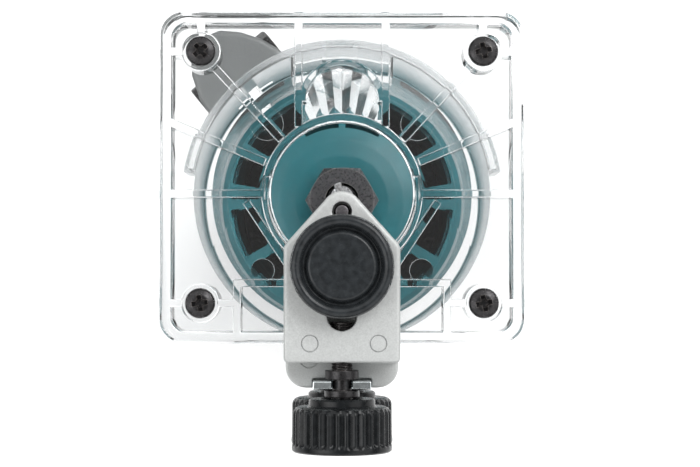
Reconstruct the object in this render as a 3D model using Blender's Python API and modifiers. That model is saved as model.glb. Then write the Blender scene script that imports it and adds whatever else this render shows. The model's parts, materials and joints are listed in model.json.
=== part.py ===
"""Trim router with a clear base and a roller guide, standing on its flat head.

Dimensions are millimetres and every mesh is written in metres. +Z runs along the spindle, from the
flat head face to the bit. The origin is the centre of the head face, and the guide is on the -Y side.
"""

import math

import bmesh
import bpy
from mathutils import Matrix, Vector

MM = 0.001
GAP = 0.3  # between pieces that touch on the real machine
FINE, ROUND, SMALL = 28, 16, 8  # sides of large, middling and small turned pieces

# Motor unit
HEAD_RADIUS = 35.0
HEAD_TOP = 28.0
HEAD_WALL = 3.5
MOTOR_RADIUS = 32.5
MOTOR_WALL = 3.0
MOTOR_SHOULDER = 154.0
NOSE_TOP = 158.2
NOSE_BORE = 7.2
VENT_INNER, VENT_OUTER = 23.2, 30.2
VENT_ANGLES = (17, 39, 57, 123, 141, 163, 224, 250, 290, 316)
VENT_HALF = 7.5
SIDE_VENT_ANGLES = (197, 343)
SIDE_VENT_HALF = 13.0
BEARING_OUTER = 12.7
BEARING_BOTTOM, BEARING_TOP = 140.2, 148.2
SHAFT_RADIUS = 5.0
CORE_BOTTOM, CORE_TOP = 60.0, 105.0
CORE_RADIUS = 15.9
STATOR_BORE, STATOR_SHOE, STATOR_YOKE, STATOR_RADIUS = 16.4, 17.7, 24.5, 29.2
COIL_RADIUS = 2.6
BRUSH_HEIGHT = 45.0
COMMUTATOR_RADIUS = 10.5
BRACKET_BOTTOM, BRACKET_TOP = 28.3, 33.0
HEAD_SCREW_RADIUS_AT = 25.0
HEAD_SCREW_ANGLES = (45, 135, 225, 315)
SWITCH_HEIGHT = 13.0

# Collet and bit
NUT_ACROSS_FLATS = 17.0
NUT_BOTTOM, NUT_TOP = 158.6, 166.3
COLLET_BOTTOM = 150.5
BIT_SHANK_RADIUS = 3.0
BIT_NECK, BIT_TIP = 174.0, 195.2

# Base
SOLE = 199.0
BASE_HALF_WIDTH = 45.0
BASE_FRONT, BASE_BACK = -37.0, 45.0
BASE_CORNER = 6.0
PLATE_THICKNESS = 3.0
FLANGE_BOTTOM = 185.0
SKIN = 2.5
RIM = 3.0
RIB = 2.0
FLANGE_TOP = SOLE - PLATE_THICKNESS - GAP
RING_INNER, RING_OUTER = 17.5, 20.0
RING_DRAFT = 1.2  # how much wider the throat is on the motor's side
CLAMP_INNER, CLAMP_OUTER = 32.8, 37.5
CLAMP_BOTTOM = 133.0
SCREW_X, SCREW_BACK, SCREW_FRONT = 35.0, 35.3, -27.1
SCREW_HEAD = 3.8
BOSS_RADIUS = 4.9
ARCH_Y, ARCH_INNER, ARCH_OUTER = 22.8, 8.9, 10.7
WINDOW_HALF_WIDTH = 13.0
WINDOW_BOTTOM, WINDOW_TOP = 165.0, 183.0
DEFLECTOR_BOTTOM, DEFLECTOR_TOP = 164.0, 184.6
DEFLECTOR_START, DEFLECTOR_END = 10, 170

# Clamp lever, on a bolt that lies along the tangent at this bearing
LEVER_BEARING = math.radians(129)
LEVER_REACH = 46.0
LEVER_HEIGHT = 148.0
LEVER_HUB = 8.1
LEVER_HALF_LENGTH = 13.2
LEVER_SWING = 70  # degrees
BOLT_SEAT, BOLT_POCKET = 9.9, 5.2  # where the pockets for the bolt's head and nut begin, and their radius
HOOD_HALF_HEIGHT = 6.0
EAR_RADIUS = 5.4
EAR_ROOT_BOTTOM, EAR_ROOT_TOP = -9.5, -4.0  # from the bolt's axis
EAR_CLEARANCE = 0.6
SLIT = 3.0
EAR_OUT = 6.0

# Roller guide
GUIDE_HALF_WIDTH = 14.0
HOLDER_THICKNESS = 3.0
HOLDER_BOTTOM = SOLE + GAP
HOLDER_TOP = HOLDER_BOTTOM + HOLDER_THICKNESS
HOLDER_END, HOLDER_NEAR = -47.6, -12.0
LEG_INNER, LEG_OUTER = -38.3, -42.3
LEG_BOTTOM = 168.0
ARM_BOTTOM = HOLDER_TOP + GAP
ARM_TOP = 210.2
ARM_END, ARM_SHOULDER = -41.3, -12.6
SLOT_HALF_WIDTH, SLOT_END, SLOT_START = 3.65, -33.6, -12.8
ROLLER_Y, TIP_RADIUS = -5.0, 4.95
ROLLER_RADIUS = 4.75
ROLLER_BOTTOM, ROLLER_TOP = 196.4, 202.2
PIN_RADIUS = 1.6
STUD_RADIUS = 2.9
ARM_STUD_Y = -18.2
DISC_RADIUS, DISC_BOTTOM, DISC_TOP = 12.4, 211.7, 217.2
SCREW_AXIS_Z = 206.7
SCREW_RADIUS = 2.6
SIDE_AXIS_Z = 179.0
KNOB_RADIUS, KNOB_START, KNOB_END = 12.1, -51.8, -62.6
SIDE_KNOB_RADIUS, SIDE_KNOB_START, SIDE_KNOB_END = 13.0, -51.3, -63.2
FLUTES = 16

# Colours (linear), roughness and metallic
TEAL = ((0.026, 0.19, 0.225, 1), 0.4, 0)
BLACK_PLASTIC = ((0.012, 0.013, 0.015, 1), 0.45, 0)
CLEAR = ((0.93, 0.95, 0.95, 0.35), 0.05, 0)
CASTING = ((0.62, 0.64, 0.63, 1), 0.5, 0.8)
LEVER_GREY = ((0.2, 0.205, 0.205, 1), 0.45, 0.7)
STEEL = ((0.55, 0.56, 0.58, 1), 0.3, 1)
BLACK_STEEL = ((0.03, 0.03, 0.032, 1), 0.4, 0.9)
ZINC = ((0.72, 0.76, 0.77, 1), 0.25, 1)
LAMINATION = ((0.28, 0.28, 0.3, 1), 0.5, 0.9)
COPPER = ((0.6, 0.24, 0.09, 1), 0.35, 1)
BRASS = ((0.72, 0.5, 0.2, 1), 0.35, 1)
CARBON = ((0.02, 0.02, 0.02, 1), 0.7, 0)


def clear_scene():
    for item in list(bpy.data.objects):
        bpy.data.objects.remove(item, do_unlink=True)


def new_collection(name):
    made = bpy.data.collections.new(name)
    bpy.context.scene.collection.children.link(made)
    return made


def material(name, look):
    colour, roughness, metallic = look
    made = bpy.data.materials.new(name)
    made.use_nodes = True
    shader = made.node_tree.nodes["Principled BSDF"]
    shader.inputs["Base Color"].default_value = colour
    shader.inputs["Roughness"].default_value = roughness
    shader.inputs["Metallic"].default_value = metallic
    shader.inputs["Alpha"].default_value = colour[3]
    return made


def piece(name, mesh, look):
    """A sub-part of the router, with its own material."""
    mesh.transform(Matrix.Scale(MM, 4))
    mesh.materials.append(material(name, look))
    mesh.shade_smooth()
    mesh.set_sharp_from_angle(angle=math.radians(32))
    made = bpy.data.objects.new(name, mesh)
    parts.objects.link(made)
    return made


def helper(mesh):
    """A cutter or an added shape, left out of the build."""
    mesh.transform(Matrix.Scale(MM, 4))
    made = bpy.data.objects.new("helper", mesh)
    made.hide_render = True
    made.display_type = "WIRE"
    cutters.objects.link(made)
    return made


def combine(target, operation, meshes):
    """Adds or cuts shapes. The base takes the MANIFOLD solver, as its ribs meet in shared planes."""
    for mesh in meshes:
        modifier = target.modifiers.new(operation.lower(), "BOOLEAN")
        modifier.operation = operation
        modifier.object = helper(mesh)
        modifier.solver = "MANIFOLD" if target.name == "base_body" else "EXACT"
    return target


def mesh_of(work, made=None):
    """Writes a closed shape to a mesh with its faces pointing out."""
    made = made or bpy.data.meshes.new("shape")
    if work.calc_volume(signed=True) < 0:
        bmesh.ops.reverse_faces(work, faces=work.faces)
    work.to_mesh(made)
    work.free()
    return made


def box(low, high):
    work = bmesh.new()
    bmesh.ops.create_cube(work, size=1)
    size = Vector(high) - Vector(low)
    middle = (Vector(high) + Vector(low)) / 2
    work.transform(Matrix.Translation(middle) @ Matrix.Diagonal((*size, 1)))
    return mesh_of(work)


def rod(radius, start, end, sides=SMALL):
    """A cylinder between two points."""
    start, end = Vector(start), Vector(end)
    along = end - start
    work = bmesh.new()
    bmesh.ops.create_cone(work, cap_ends=True, segments=sides, radius1=radius, radius2=radius,
                          depth=along.length)
    turn = along.to_track_quat("Z", "Y").to_matrix().to_4x4()
    work.transform(Matrix.Translation((start + end) / 2) @ turn)
    return mesh_of(work)


def turned(profile, sides, closed):
    """A profile of (radius, height) swept round Z. It runs down its outer side."""
    count = len(profile)
    ends = [(i, i + 1) for i in range(count - 1)] + ([(count - 1, 0)] if closed else [])
    line = bpy.data.meshes.new("profile")
    line.from_pydata([(r, 0, z) for r, z in profile], ends, [])
    carrier = bpy.data.objects.new("profile", line)
    cutters.objects.link(carrier)
    screw = carrier.modifiers.new("turn", "SCREW")
    screw.steps = screw.render_steps = sides
    screw.use_merge_vertices = True
    screw.merge_threshold = 0.0001
    return baked(carrier)


def baked(carrier):
    """The evaluated mesh of a helper, which is then removed."""
    bpy.context.view_layer.update()
    graph = bpy.context.evaluated_depsgraph_get()
    made = bpy.data.meshes.new_from_object(carrier.evaluated_get(graph))
    bpy.data.objects.remove(carrier, do_unlink=True)
    work = bmesh.new()
    work.from_mesh(made)
    bmesh.ops.remove_doubles(work, verts=work.verts, dist=0.0001)
    return mesh_of(work, made)


def ring(inner, outer, bottom, top, sides=ROUND):
    return turned([(outer, top), (outer, bottom), (inner, bottom), (inner, top)], sides, True)


def solid_turned(profile, sides=ROUND):
    """A turned piece that is solid on its axis."""
    return turned([(0, profile[0][1]), *profile, (0, profile[-1][1])], sides, False)


def extruded(loops, bottom, top):
    """A flat outline with holes, made thick along Z."""
    data = bpy.data.curves.new("outline", "CURVE")
    data.dimensions = "2D"
    data.fill_mode = "BOTH"
    data.extrude = (top - bottom) / 2
    for loop in loops:
        spline = data.splines.new("POLY")
        spline.points.add(len(loop) - 1)
        spline.use_cyclic_u = True
        for point, (x, y) in zip(spline.points, loop):
            point.co = (x, y, 0, 1)
    carrier = bpy.data.objects.new("outline", data)
    cutters.objects.link(carrier)
    made = baked(carrier)
    made.transform(Matrix.Translation((0, 0, (top + bottom) / 2)))
    return made


def polar(radius, angle):
    return radius * math.cos(angle), radius * math.sin(angle)


def arc(centre, radius, start, end, steps):
    """Points on an arc, its angles in degrees."""
    angles = [math.radians(start + (end - start) * i / steps) for i in range(steps + 1)]
    return [(centre[0] + radius * math.cos(a), centre[1] + radius * math.sin(a)) for a in angles]


def circle(radius, sides=ROUND, centre=(0, 0)):
    return arc(centre, radius, 0, 360, sides)[:-1]


def rounded(left, right, low, high, radius, steps=4):
    """A rectangle with round corners."""
    corners = (
        ((right - radius, high - radius), 0),
        ((left + radius, high - radius), 90),
        ((left + radius, low + radius), 180),
        ((right - radius, low + radius), 270),
    )
    return [p for centre, start in corners for p in arc(centre, radius, start, start + 90, steps)]


def sector(inner, outer, start, end, steps=3):
    """The outline between two radii and two angles."""
    return arc((0, 0), outer, start, end, steps) + arc((0, 0), inner, end, start, steps)


def turn_about_z(mesh, angle):
    mesh.transform(Matrix.Rotation(angle, 4, "Z"))
    return mesh


def wall(start, end, thickness, bottom, top):
    """A straight rib between two points, standing on bottom."""
    start, end = Vector(start), Vector(end)
    middle = (start + end) / 2
    along = end - start
    shape = box((-along.length / 2, -thickness / 2, bottom), (along.length / 2, thickness / 2, top))
    turn = Matrix.Rotation(math.atan2(along.y, along.x), 4, "Z")
    shape.transform(Matrix.Translation((middle.x, middle.y, 0)) @ turn)
    return shape


def along_y(mesh, x, z):
    """Turns a piece made along Z so that its +Z end points to +Y, on an axis at x and z."""
    mesh.transform(Matrix.Translation((x, 0, z)) @ Matrix.Rotation(-math.pi / 2, 4, "X"))
    return mesh


def at_lever(mesh):
    """Moves a shape made with X outwards, Y along the bolt and Z up to the lever's bearing."""
    return turn_about_z(mesh, LEVER_BEARING)


# Motor unit


def motor_housing():
    inner = MOTOR_RADIUS - MOTOR_WALL
    profile = [
        (NOSE_BORE, NOSE_TOP), (12.5, NOSE_TOP), (17.0, NOSE_TOP - 0.7), (21.0, NOSE_TOP - 2.3),
        (22.3, MOTOR_SHOULDER), (31.0, MOTOR_SHOULDER), (MOTOR_RADIUS, MOTOR_SHOULDER - 1.5),
        (MOTOR_RADIUS, BRACKET_BOTTOM), (inner, BRACKET_BOTTOM), (inner, MOTOR_SHOULDER - 3.5),
        (16.0, MOTOR_SHOULDER - 3.5), (16.0, BEARING_BOTTOM), (BEARING_OUTER + GAP, BEARING_BOTTOM),
        (BEARING_OUTER + GAP, BEARING_TOP + GAP), (NOSE_BORE, BEARING_TOP + GAP),
    ]
    body = piece("motor_housing", turned(profile, FINE, True), TEAL)
    vents = [(a, VENT_HALF) for a in VENT_ANGLES] + [(a, SIDE_VENT_HALF) for a in SIDE_VENT_ANGLES]
    for angle, half in vents:
        outline = sector(VENT_INNER, VENT_OUTER, angle - half, angle + half)
        combine(body, "DIFFERENCE", [extruded([outline], MOTOR_SHOULDER - 6, MOTOR_SHOULDER + 2)])
    brush_hole = rod(5.5, (-40, 0, BRUSH_HEIGHT), (40, 0, BRUSH_HEIGHT), ROUND)
    combine(body, "DIFFERENCE", [brush_hole])


def head_cover():
    inner = HEAD_RADIUS - HEAD_WALL
    profile = [
        (0, HEAD_WALL), (inner, HEAD_WALL), (inner, HEAD_TOP), (HEAD_RADIUS - 0.8, HEAD_TOP),
        (HEAD_RADIUS, HEAD_TOP - 1.5), (HEAD_RADIUS, 4.5), (HEAD_RADIUS - 1.3, 1.3),
        (HEAD_RADIUS - 4.5, 0), (0, 0),
    ]
    body = piece("head_cover", turned(profile, FINE, False), BLACK_PLASTIC)
    for angle in HEAD_SCREW_ANGLES:
        x, y = polar(HEAD_SCREW_RADIUS_AT, math.radians(angle))
        combine(body, "UNION", [rod(4.5, (x, y, 1.5), (x, y, HEAD_TOP), SMALL)])
        combine(body, "DIFFERENCE", [rod(4.0, (x, y, -1), (x, y, 4.2), SMALL),
                                     rod(2.3, (x, y, 3), (x, y, HEAD_TOP + 1), SMALL)])
    collar = rod(7.0, (0, inner - 4, 14), (0, HEAD_RADIUS + 6, 14), ROUND)
    inlet = rod(4.2, (0, inner - 6, 14), (0, HEAD_RADIUS + 8, 14), SMALL)
    combine(body, "UNION", [collar])
    low, high = SWITCH_HEIGHT - 4.5, SWITCH_HEIGHT + 8.5
    slot = box((-HEAD_RADIUS - 2, -3.8, low), (-inner + 4, 3.8, high))
    combine(body, "DIFFERENCE", [inlet, slot])


def head_screws():
    for number, angle in enumerate(HEAD_SCREW_ANGLES, 1):
        x, y = polar(HEAD_SCREW_RADIUS_AT, math.radians(angle))
        profile = [(2.0, 38.0), (2.0, 3.9), (3.6, 3.9), (3.6, 1.0)]
        shape = solid_turned(profile, SMALL)
        shape.transform(Matrix.Translation((x, y, 0)))
        piece(f"head_screw_{number}", shape, BLACK_STEEL)


def switch():
    piece("switch_body", box((-24, -7, 8), (-8, 7, 22)), BLACK_PLASTIC)
    low, high = SWITCH_HEIGHT - 3, SWITCH_HEIGHT + 3
    slider = piece("switch_slider", box((-34.5, -3.4, low), (-28.0, 3.4, high)), BLACK_PLASTIC)
    button = box((-37.6, -5.0, low - 1), (-35.4, 5.0, high + 1))
    neck = box((-35.8, -3.0, low + 0.5), (-34.0, 3.0, high - 0.5))
    tongue = box((-28.2, -1.2, SWITCH_HEIGHT - 1.2), (-24.4, 1.2, SWITCH_HEIGHT + 1.2))
    combine(slider, "UNION", [neck, button, tongue])


def bearing_bracket():
    outline = [circle(STATOR_RADIUS, FINE), circle(8.3, ROUND)]
    body = piece("bearing_bracket", extruded(outline, BRACKET_BOTTOM + GAP, BRACKET_TOP), BLACK_PLASTIC)
    combine(body, "UNION", [ring(5.5, 10.5, BRACKET_TOP - 0.5, 36.0)])
    combine(body, "DIFFERENCE", [rod(8.3, (0, 0, 20), (0, 0, 34.2), ROUND)])
    for angle in HEAD_SCREW_ANGLES:
        x, y = polar(HEAD_SCREW_RADIUS_AT, math.radians(angle))
        combine(body, "UNION", [rod(3.8, (x, y, BRACKET_TOP - 1), (x, y, 39.0), SMALL)])
        combine(body, "DIFFERENCE", [rod(2.3, (x, y, 20), (x, y, 45), SMALL)])
    for angle in (0, 90, 180, 270):
        outline = sector(14, 21, angle - 16, angle + 16)
        combine(body, "DIFFERENCE", [extruded([outline], 25, 40)])


def bearings():
    piece("upper_bearing", ring(3.8, 8.0, BRACKET_BOTTOM + 0.6, 33.9), STEEL)
    piece("lower_bearing", ring(SHAFT_RADIUS + GAP, BEARING_OUTER, BEARING_BOTTOM, BEARING_TOP), STEEL)
    outline = [circle(16.0), circle(8.5, ROUND)]
    piece("bearing_retainer", extruded(outline, 137.2, BEARING_BOTTOM - GAP), STEEL)


def stator():
    """A yoke with two poles on the Y axis. Each pole's shoe hugs the bore, and a coil goes round its neck."""
    neck = math.degrees(math.asin(7.0 / STATOR_SHOE))
    window = []
    for pole in (90, 270):
        window += arc((0, 0), STATOR_BORE, pole - 52, pole + 52, 10)
        window += arc((0, 0), STATOR_SHOE, pole + 52, pole + neck, 3)
        far = math.degrees(math.asin(7.0 / STATOR_YOKE))
        window += arc((0, 0), STATOR_YOKE, pole + far, pole + 180 - far, 12)
        window += arc((0, 0), STATOR_SHOE, pole + 180 - neck, pole + 128, 3)
    piece("stator_core", extruded([circle(STATOR_RADIUS, FINE), window], CORE_BOTTOM, CORE_TOP), LAMINATION)


def field_coils():
    for name, side in (("field_coil_front", -1), ("field_coil_rear", 1)):
        reach, half = 17.4, 10.8
        low, high = CORE_BOTTOM - 3.5, CORE_TOP + 3.5
        turns = [(half, low, 0), (half, high, 0), (4.0, high + 2.6, 3.5), (-4.0, high + 2.6, 3.5),
                 (-half, high, 0), (-half, low, 0), (-4.0, low - 2.6, 3.5), (4.0, low - 2.6, 3.5)]
        data = bpy.data.curves.new(name, "CURVE")
        data.dimensions = "3D"
        data.bevel_depth = COIL_RADIUS * MM
        data.bevel_resolution = 1
        spline = data.splines.new("POLY")
        spline.points.add(len(turns) - 1)
        spline.use_cyclic_u = True
        for point, (x, z, out) in zip(spline.points, turns):
            point.co = (x * MM, side * (reach + out) * MM, z * MM, 1)
        data.materials.append(material(name, COPPER))
        parts.objects.link(bpy.data.objects.new(name, data))


def brushes():
    for name, side in (("left", -1), ("right", 1)):
        low, high = BRUSH_HEIGHT - 4.5, BRUSH_HEIGHT + 4.5
        holder = box((side * 20.2 - 8.8, -4, low), (side * 20.2 + 8.8, 4, high))
        holder = piece(f"brush_holder_{name}", holder, BRASS)
        bore = box((side * 20.2 - 10, -2.8, low + 1.2), (side * 20.2 + 10, 2.8, high - 1.2))
        combine(holder, "DIFFERENCE", [bore])
        near, far = sorted((side * (COMMUTATOR_RADIUS + GAP), side * 20.0))
        piece(f"carbon_brush_{name}", box((near, -2.5, low + 1.5), (far, 2.5, high - 1.5)), CARBON)
        cap = rod(5.2, (side * 29.9, 0, BRUSH_HEIGHT), (side * 32.2, 0, BRUSH_HEIGHT), ROUND)
        cap = piece(f"brush_cap_{name}", cap, BLACK_PLASTIC)
        slot = box((side * 32.2 - 0.9, -3.6, BRUSH_HEIGHT - 0.7), (side * 32.2 + 0.9, 3.6, BRUSH_HEIGHT + 0.7))
        combine(cap, "DIFFERENCE", [slot])
        brush_spring(f"brush_spring_{name}", side)


def brush_spring(name, side, turns=3.5, per_turn=8):
    data = bpy.data.curves.new(name, "CURVE")
    data.dimensions = "3D"
    data.bevel_depth = 0.35 * MM
    data.bevel_resolution = 0
    data.use_fill_caps = True
    spline = data.splines.new("POLY")
    count = int(turns * per_turn)
    spline.points.add(count)
    for i, point in enumerate(spline.points):
        angle = 2 * math.pi * i / per_turn
        x = side * (20.9 + 7.6 * i / count)
        y, z = polar(1.9, angle)
        point.co = (x * MM, y * MM, (BRUSH_HEIGHT + z) * MM, 1)
    data.materials.append(material(name, STEEL))
    parts.objects.link(bpy.data.objects.new(name, data))


def fan_baffle():
    piece("fan_baffle", ring(18.0, STATOR_RADIUS, 114.6, 116.6, FINE), BLACK_PLASTIC)


# Spindle


def armature():
    profile = [
        (6.0, 162.5), (6.0, BEARING_TOP + 0.8), (SHAFT_RADIUS, BEARING_TOP + 0.8), (SHAFT_RADIUS, 36.8),
        (3.5, 36.8), (3.5, 24.0), (0, 24.0),
    ]
    bore = [(0, 149.5), (4.5, 149.5), (4.5, 162.5)]
    piece("armature_shaft", turned(bore + profile, ROUND, False), STEEL)
    outline = []
    slots = 12
    for i in range(slots):
        middle = 360 * i / slots
        outline += arc((0, 0), CORE_RADIUS, middle - 11, middle + 11, 2)
        outline += [polar(10.5, math.radians(middle + 12)), polar(10.5, math.radians(middle + 18))]
    core = extruded([outline, circle(SHAFT_RADIUS + GAP)], CORE_BOTTOM, CORE_TOP)
    piece("armature_core", core, LAMINATION)
    hub = SHAFT_RADIUS + GAP
    lower = [(10.0, 113.5), (14.0, 111), (14.8, CORE_TOP + GAP), (hub, CORE_TOP + GAP), (hub, 113.5)]
    upper = [(14.8, CORE_BOTTOM - GAP), (13.5, 54), (9.0, 51.0), (hub, 51.0), (hub, CORE_BOTTOM - GAP)]
    piece("winding_lower", turned(lower, ROUND, True), COPPER)
    piece("winding_upper", turned(upper, ROUND, True), COPPER)
    piece("commutator", ring(hub, COMMUTATOR_RADIUS, 38.0, 50.7), COPPER)


def cooling_fan():
    hub = SHAFT_RADIUS + GAP
    profile = [(9, 130), (9, 120), (26, 120), (26, 118), (hub, 118), (hub, 130)]
    fan = piece("cooling_fan", turned(profile, ROUND, True), BLACK_PLASTIC)
    for i in range(10):
        blade = box((8.0, -0.7, 119.0), (25.5, 0.7, 129.0))
        blade.transform(Matrix.Rotation(math.pi * i / 5, 4, "Z"))
        combine(fan, "UNION", [blade])


def collet():
    profile = [(3.9, 165.6), (5.2, 163.6), (5.2, 163.1), (4.2, 162.8), (4.2, COLLET_BOTTOM),
               (BIT_SHANK_RADIUS + GAP, COLLET_BOTTOM), (BIT_SHANK_RADIUS + GAP, 165.6)]
    cone = piece("collet_cone", turned(profile, ROUND, True), STEEL)
    for angle in (0, math.pi / 2):
        slot = box((-7, -0.4, 153.0), (7, 0.4, 170.0))
        combine(cone, "DIFFERENCE", [turn_about_z(slot, angle)])
    corner = NUT_ACROSS_FLATS / 2 / math.cos(math.pi / 6)
    body = extruded([circle(corner, 6)], NUT_BOTTOM, NUT_TOP)
    nut = piece("collet_nut", body, BLACK_STEEL)
    bore = [(4.4, NUT_TOP + 1), (4.4, NUT_TOP), (5.7, 163.9), (6.3, 163.9), (6.3, NUT_BOTTOM - 1)]
    combine(nut, "DIFFERENCE", [solid_turned(bore)])
    outside = [(corner - 1.4, NUT_TOP + 0.1), (corner + 0.4, NUT_TOP - 1.2), (corner + 0.4, NUT_BOTTOM - 1)]
    combine(nut, "INTERSECT", [solid_turned(outside)])


def straight_bit():
    profile = [(2.6, BIT_TIP), (3.0, BIT_TIP - 0.4), (3.0, 177.0), (2.4, 176.0), (2.4, BIT_NECK),
               (BIT_SHANK_RADIUS, BIT_NECK - 0.8), (BIT_SHANK_RADIUS, 151.5)]
    bit = piece("straight_bit", solid_turned(profile, ROUND), STEEL)
    for side in (1, -1):
        flute = box((0.3, -0.2, 177.5), (5.0, 4.0, BIT_TIP + 2))
        flute = turn_about_z(flute, 0.4 + (0 if side > 0 else math.pi))
        combine(bit, "DIFFERENCE", [flute])


# Base


def base_outline(inset=0.0):
    return rounded(-BASE_HALF_WIDTH + inset, BASE_HALF_WIDTH - inset, BASE_FRONT + inset,
                   BASE_BACK - inset, BASE_CORNER - inset * 0.8)


def rib_lines():
    """The ribs of the right half, as start and end points."""
    return (
        ((10.8, 43.0), (10.8, 16.5)),
        ((31.7, 31.5), (15.0, 13.3)),
        ((43.0, 17.9), (19.0, 7.8)),
        ((43.0, 0.0), (19.0, 0.0)),
        ((23.8, -1.9), (13.5, -17.4)),
        ((38.5, -27.1), (43.5, -27.1)),
        ((26.0, -27.1), (31.5, -27.1)),
        ((26.0, -21.2), (26.0, -35.0)),
        ((38.5, 35.3), (43.5, 35.3)),
        ((35.0, 38.5), (35.0, 43.5)),
    )


def screw_places():
    return [(x, y) for y in (SCREW_BACK, SCREW_FRONT) for x in (-SCREW_X, SCREW_X)]


def base_body():
    low, high = FLANGE_BOTTOM, FLANGE_TOP
    skin = extruded([base_outline(), circle(RING_INNER + RING_DRAFT + 0.2, FINE)], low, low + SKIN)
    body = piece("base_body", skin, CLEAR)
    rim = extruded([base_outline(), base_outline(RIM)], low + 0.5, high)
    throat = [(RING_OUTER, high), (RING_OUTER, low), (RING_INNER + RING_DRAFT, low), (RING_INNER, high)]
    combine(body, "UNION", [rim, turned(throat, FINE, True)])
    for start, end in rib_lines():
        for side in (1, -1):
            mirrored = [(side * x, y) for x, y in (start, end)]
            combine(body, "UNION", [wall(*mirrored, RIB, low + 0.5, high)])
    combine(body, "UNION", [wall((-27.0, -22.1), (27.0, -22.1), RIB, low + 0.5, high)])
    outside, inside = (arc((0, ARCH_Y), radius, 0, 180, 12) for radius in (ARCH_OUTER, ARCH_INNER))
    combine(body, "UNION", [extruded([outside + inside[::-1]], low + 0.5, high)])
    for x, y in screw_places():
        combine(body, "UNION", [rod(BOSS_RADIUS, (x, y, low + 0.5), (x, y, high), ROUND)])
        combine(body, "DIFFERENCE", [rod(2.3, (x, y, low + 1.5), (x, y, high + 1), SMALL)])
    combine(body, "UNION", [ring(CLAMP_INNER, CLAMP_OUTER, CLAMP_BOTTOM, low + 1.2, FINE)])
    clamp_ears(body)
    side_boss(body)
    arch = box((-WINDOW_HALF_WIDTH, CLAMP_INNER - 12, WINDOW_BOTTOM), (WINDOW_HALF_WIDTH, 44, WINDOW_TOP))
    combine(body, "DIFFERENCE", [arch])


def clamp_ears(body):
    for low, high in ((SLIT / 2, EAR_OUT), (-EAR_OUT, -SLIT / 2)):
        ear = rod(EAR_RADIUS, (LEVER_REACH, low, LEVER_HEIGHT), (LEVER_REACH, high, LEVER_HEIGHT), ROUND)
        root = box((CLAMP_INNER + 1.5, low, LEVER_HEIGHT + EAR_ROOT_BOTTOM),
                   (LEVER_REACH, high, LEVER_HEIGHT + EAR_ROOT_TOP))
        combine(body, "UNION", [at_lever(ear), at_lever(root)])
    slit = box((CLAMP_INNER - 4, -SLIT / 2, CLAMP_BOTTOM - 1), (LEVER_REACH + 10, SLIT / 2, 158.5))
    bolt_hole = rod(2.9, (LEVER_REACH, -20, LEVER_HEIGHT), (LEVER_REACH, 20, LEVER_HEIGHT), SMALL)
    combine(body, "DIFFERENCE", [at_lever(slit), at_lever(bolt_hole)])


def side_boss(body):
    boss = box((-11, -38.0, SIDE_AXIS_Z - 11), (11, -34.5, FLANGE_BOTTOM + 1))
    combine(body, "UNION", [boss])
    pocket = along_y(extruded([circle(5.6, 6)], -38.2, -33.9 - GAP), 0, SIDE_AXIS_Z)
    clearance = rod(3.3, (0, -36, SIDE_AXIS_Z), (0, -28, SIDE_AXIS_Z), SMALL)
    combine(body, "DIFFERENCE", [pocket, clearance])


def side_insert():
    shape = extruded([circle(5.2, 6), circle(3.2, SMALL)], -37.9, -34.2 - GAP)
    piece("side_insert", along_y(shape, 0, SIDE_AXIS_Z), BRASS)


def base_plate():
    low = SOLE - PLATE_THICKNESS
    shape = extruded([base_outline(), circle(RING_INNER, FINE)], low, SOLE)
    plate = piece("sole_plate", shape, CLEAR)
    for number, (x, y) in enumerate(screw_places(), 1):
        combine(plate, "DIFFERENCE", [rod(4.4, (x, y, low + 0.7), (x, y, SOLE + 1), ROUND),
                                      rod(2.3, (x, y, low - 1), (x, y, low + 1), SMALL)])
        profile = [(2.6, SOLE - 0.3), (SCREW_HEAD - 0.4, SOLE - 0.8), (SCREW_HEAD, SOLE - 1.6),
                   (SCREW_HEAD, SOLE - 2.0), (2.0, SOLE - 2.0), (2.0, FLANGE_BOTTOM + 2.2)]
        screw = solid_turned(profile, SMALL)
        screw.transform(Matrix.Translation((x, y, 0)))
        piece(f"base_screw_{number}", screw, BLACK_STEEL)


def chip_deflector():
    inner, outer = CLAMP_OUTER + GAP, CLAMP_OUTER + 2.3
    outline = sector(inner, outer, DEFLECTOR_START, DEFLECTOR_END, 24)
    body = piece("chip_deflector", extruded([outline], DEFLECTOR_BOTTOM, DEFLECTOR_TOP), CLEAR)
    for middle in (DEFLECTOR_START + 6, DEFLECTOR_END - 6):
        tab = extruded([sector(outer - 0.5, outer + 2.2, middle - 7, middle + 7, 3)],
                       DEFLECTOR_BOTTOM, DEFLECTOR_TOP - 4)
        combine(body, "UNION", [tab])


# Clamp lever


def lever_hood():
    """The lever's outline seen along Z: wide at the hub, narrowing to a blunt nose outwards."""
    half = LEVER_HALF_LENGTH
    return [(39.5, half), (46.0, half - 0.6), (52.6, 10.2), (57.6, 6.0), (58.8, 0.5), (57.6, -3.6),
            (53.6, -7.8), (48.5, -11.2), (43.0, -half), (39.5, -half)]


def ear_room():
    """The space that the ears and their roots need over the lever's whole swing."""
    reach = EAR_OUT + EAR_CLEARANCE
    disc = rod(EAR_RADIUS + EAR_CLEARANCE, (LEVER_REACH, -reach, LEVER_HEIGHT),
               (LEVER_REACH, reach, LEVER_HEIGHT), ROUND)
    root_angle = 180 + math.degrees(math.asin(-EAR_ROOT_TOP / LEVER_HUB))
    # the outline is mirrored, because along_y turns +Y into -Z
    outline = [(0, 0)] + arc((0, 0), LEVER_HUB + 4, LEVER_SWING + 2.5 - root_angle, -275, 12)
    return [at_lever(disc), at_lever(along_y(extruded([outline], -reach, reach), LEVER_REACH, LEVER_HEIGHT))]


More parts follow.
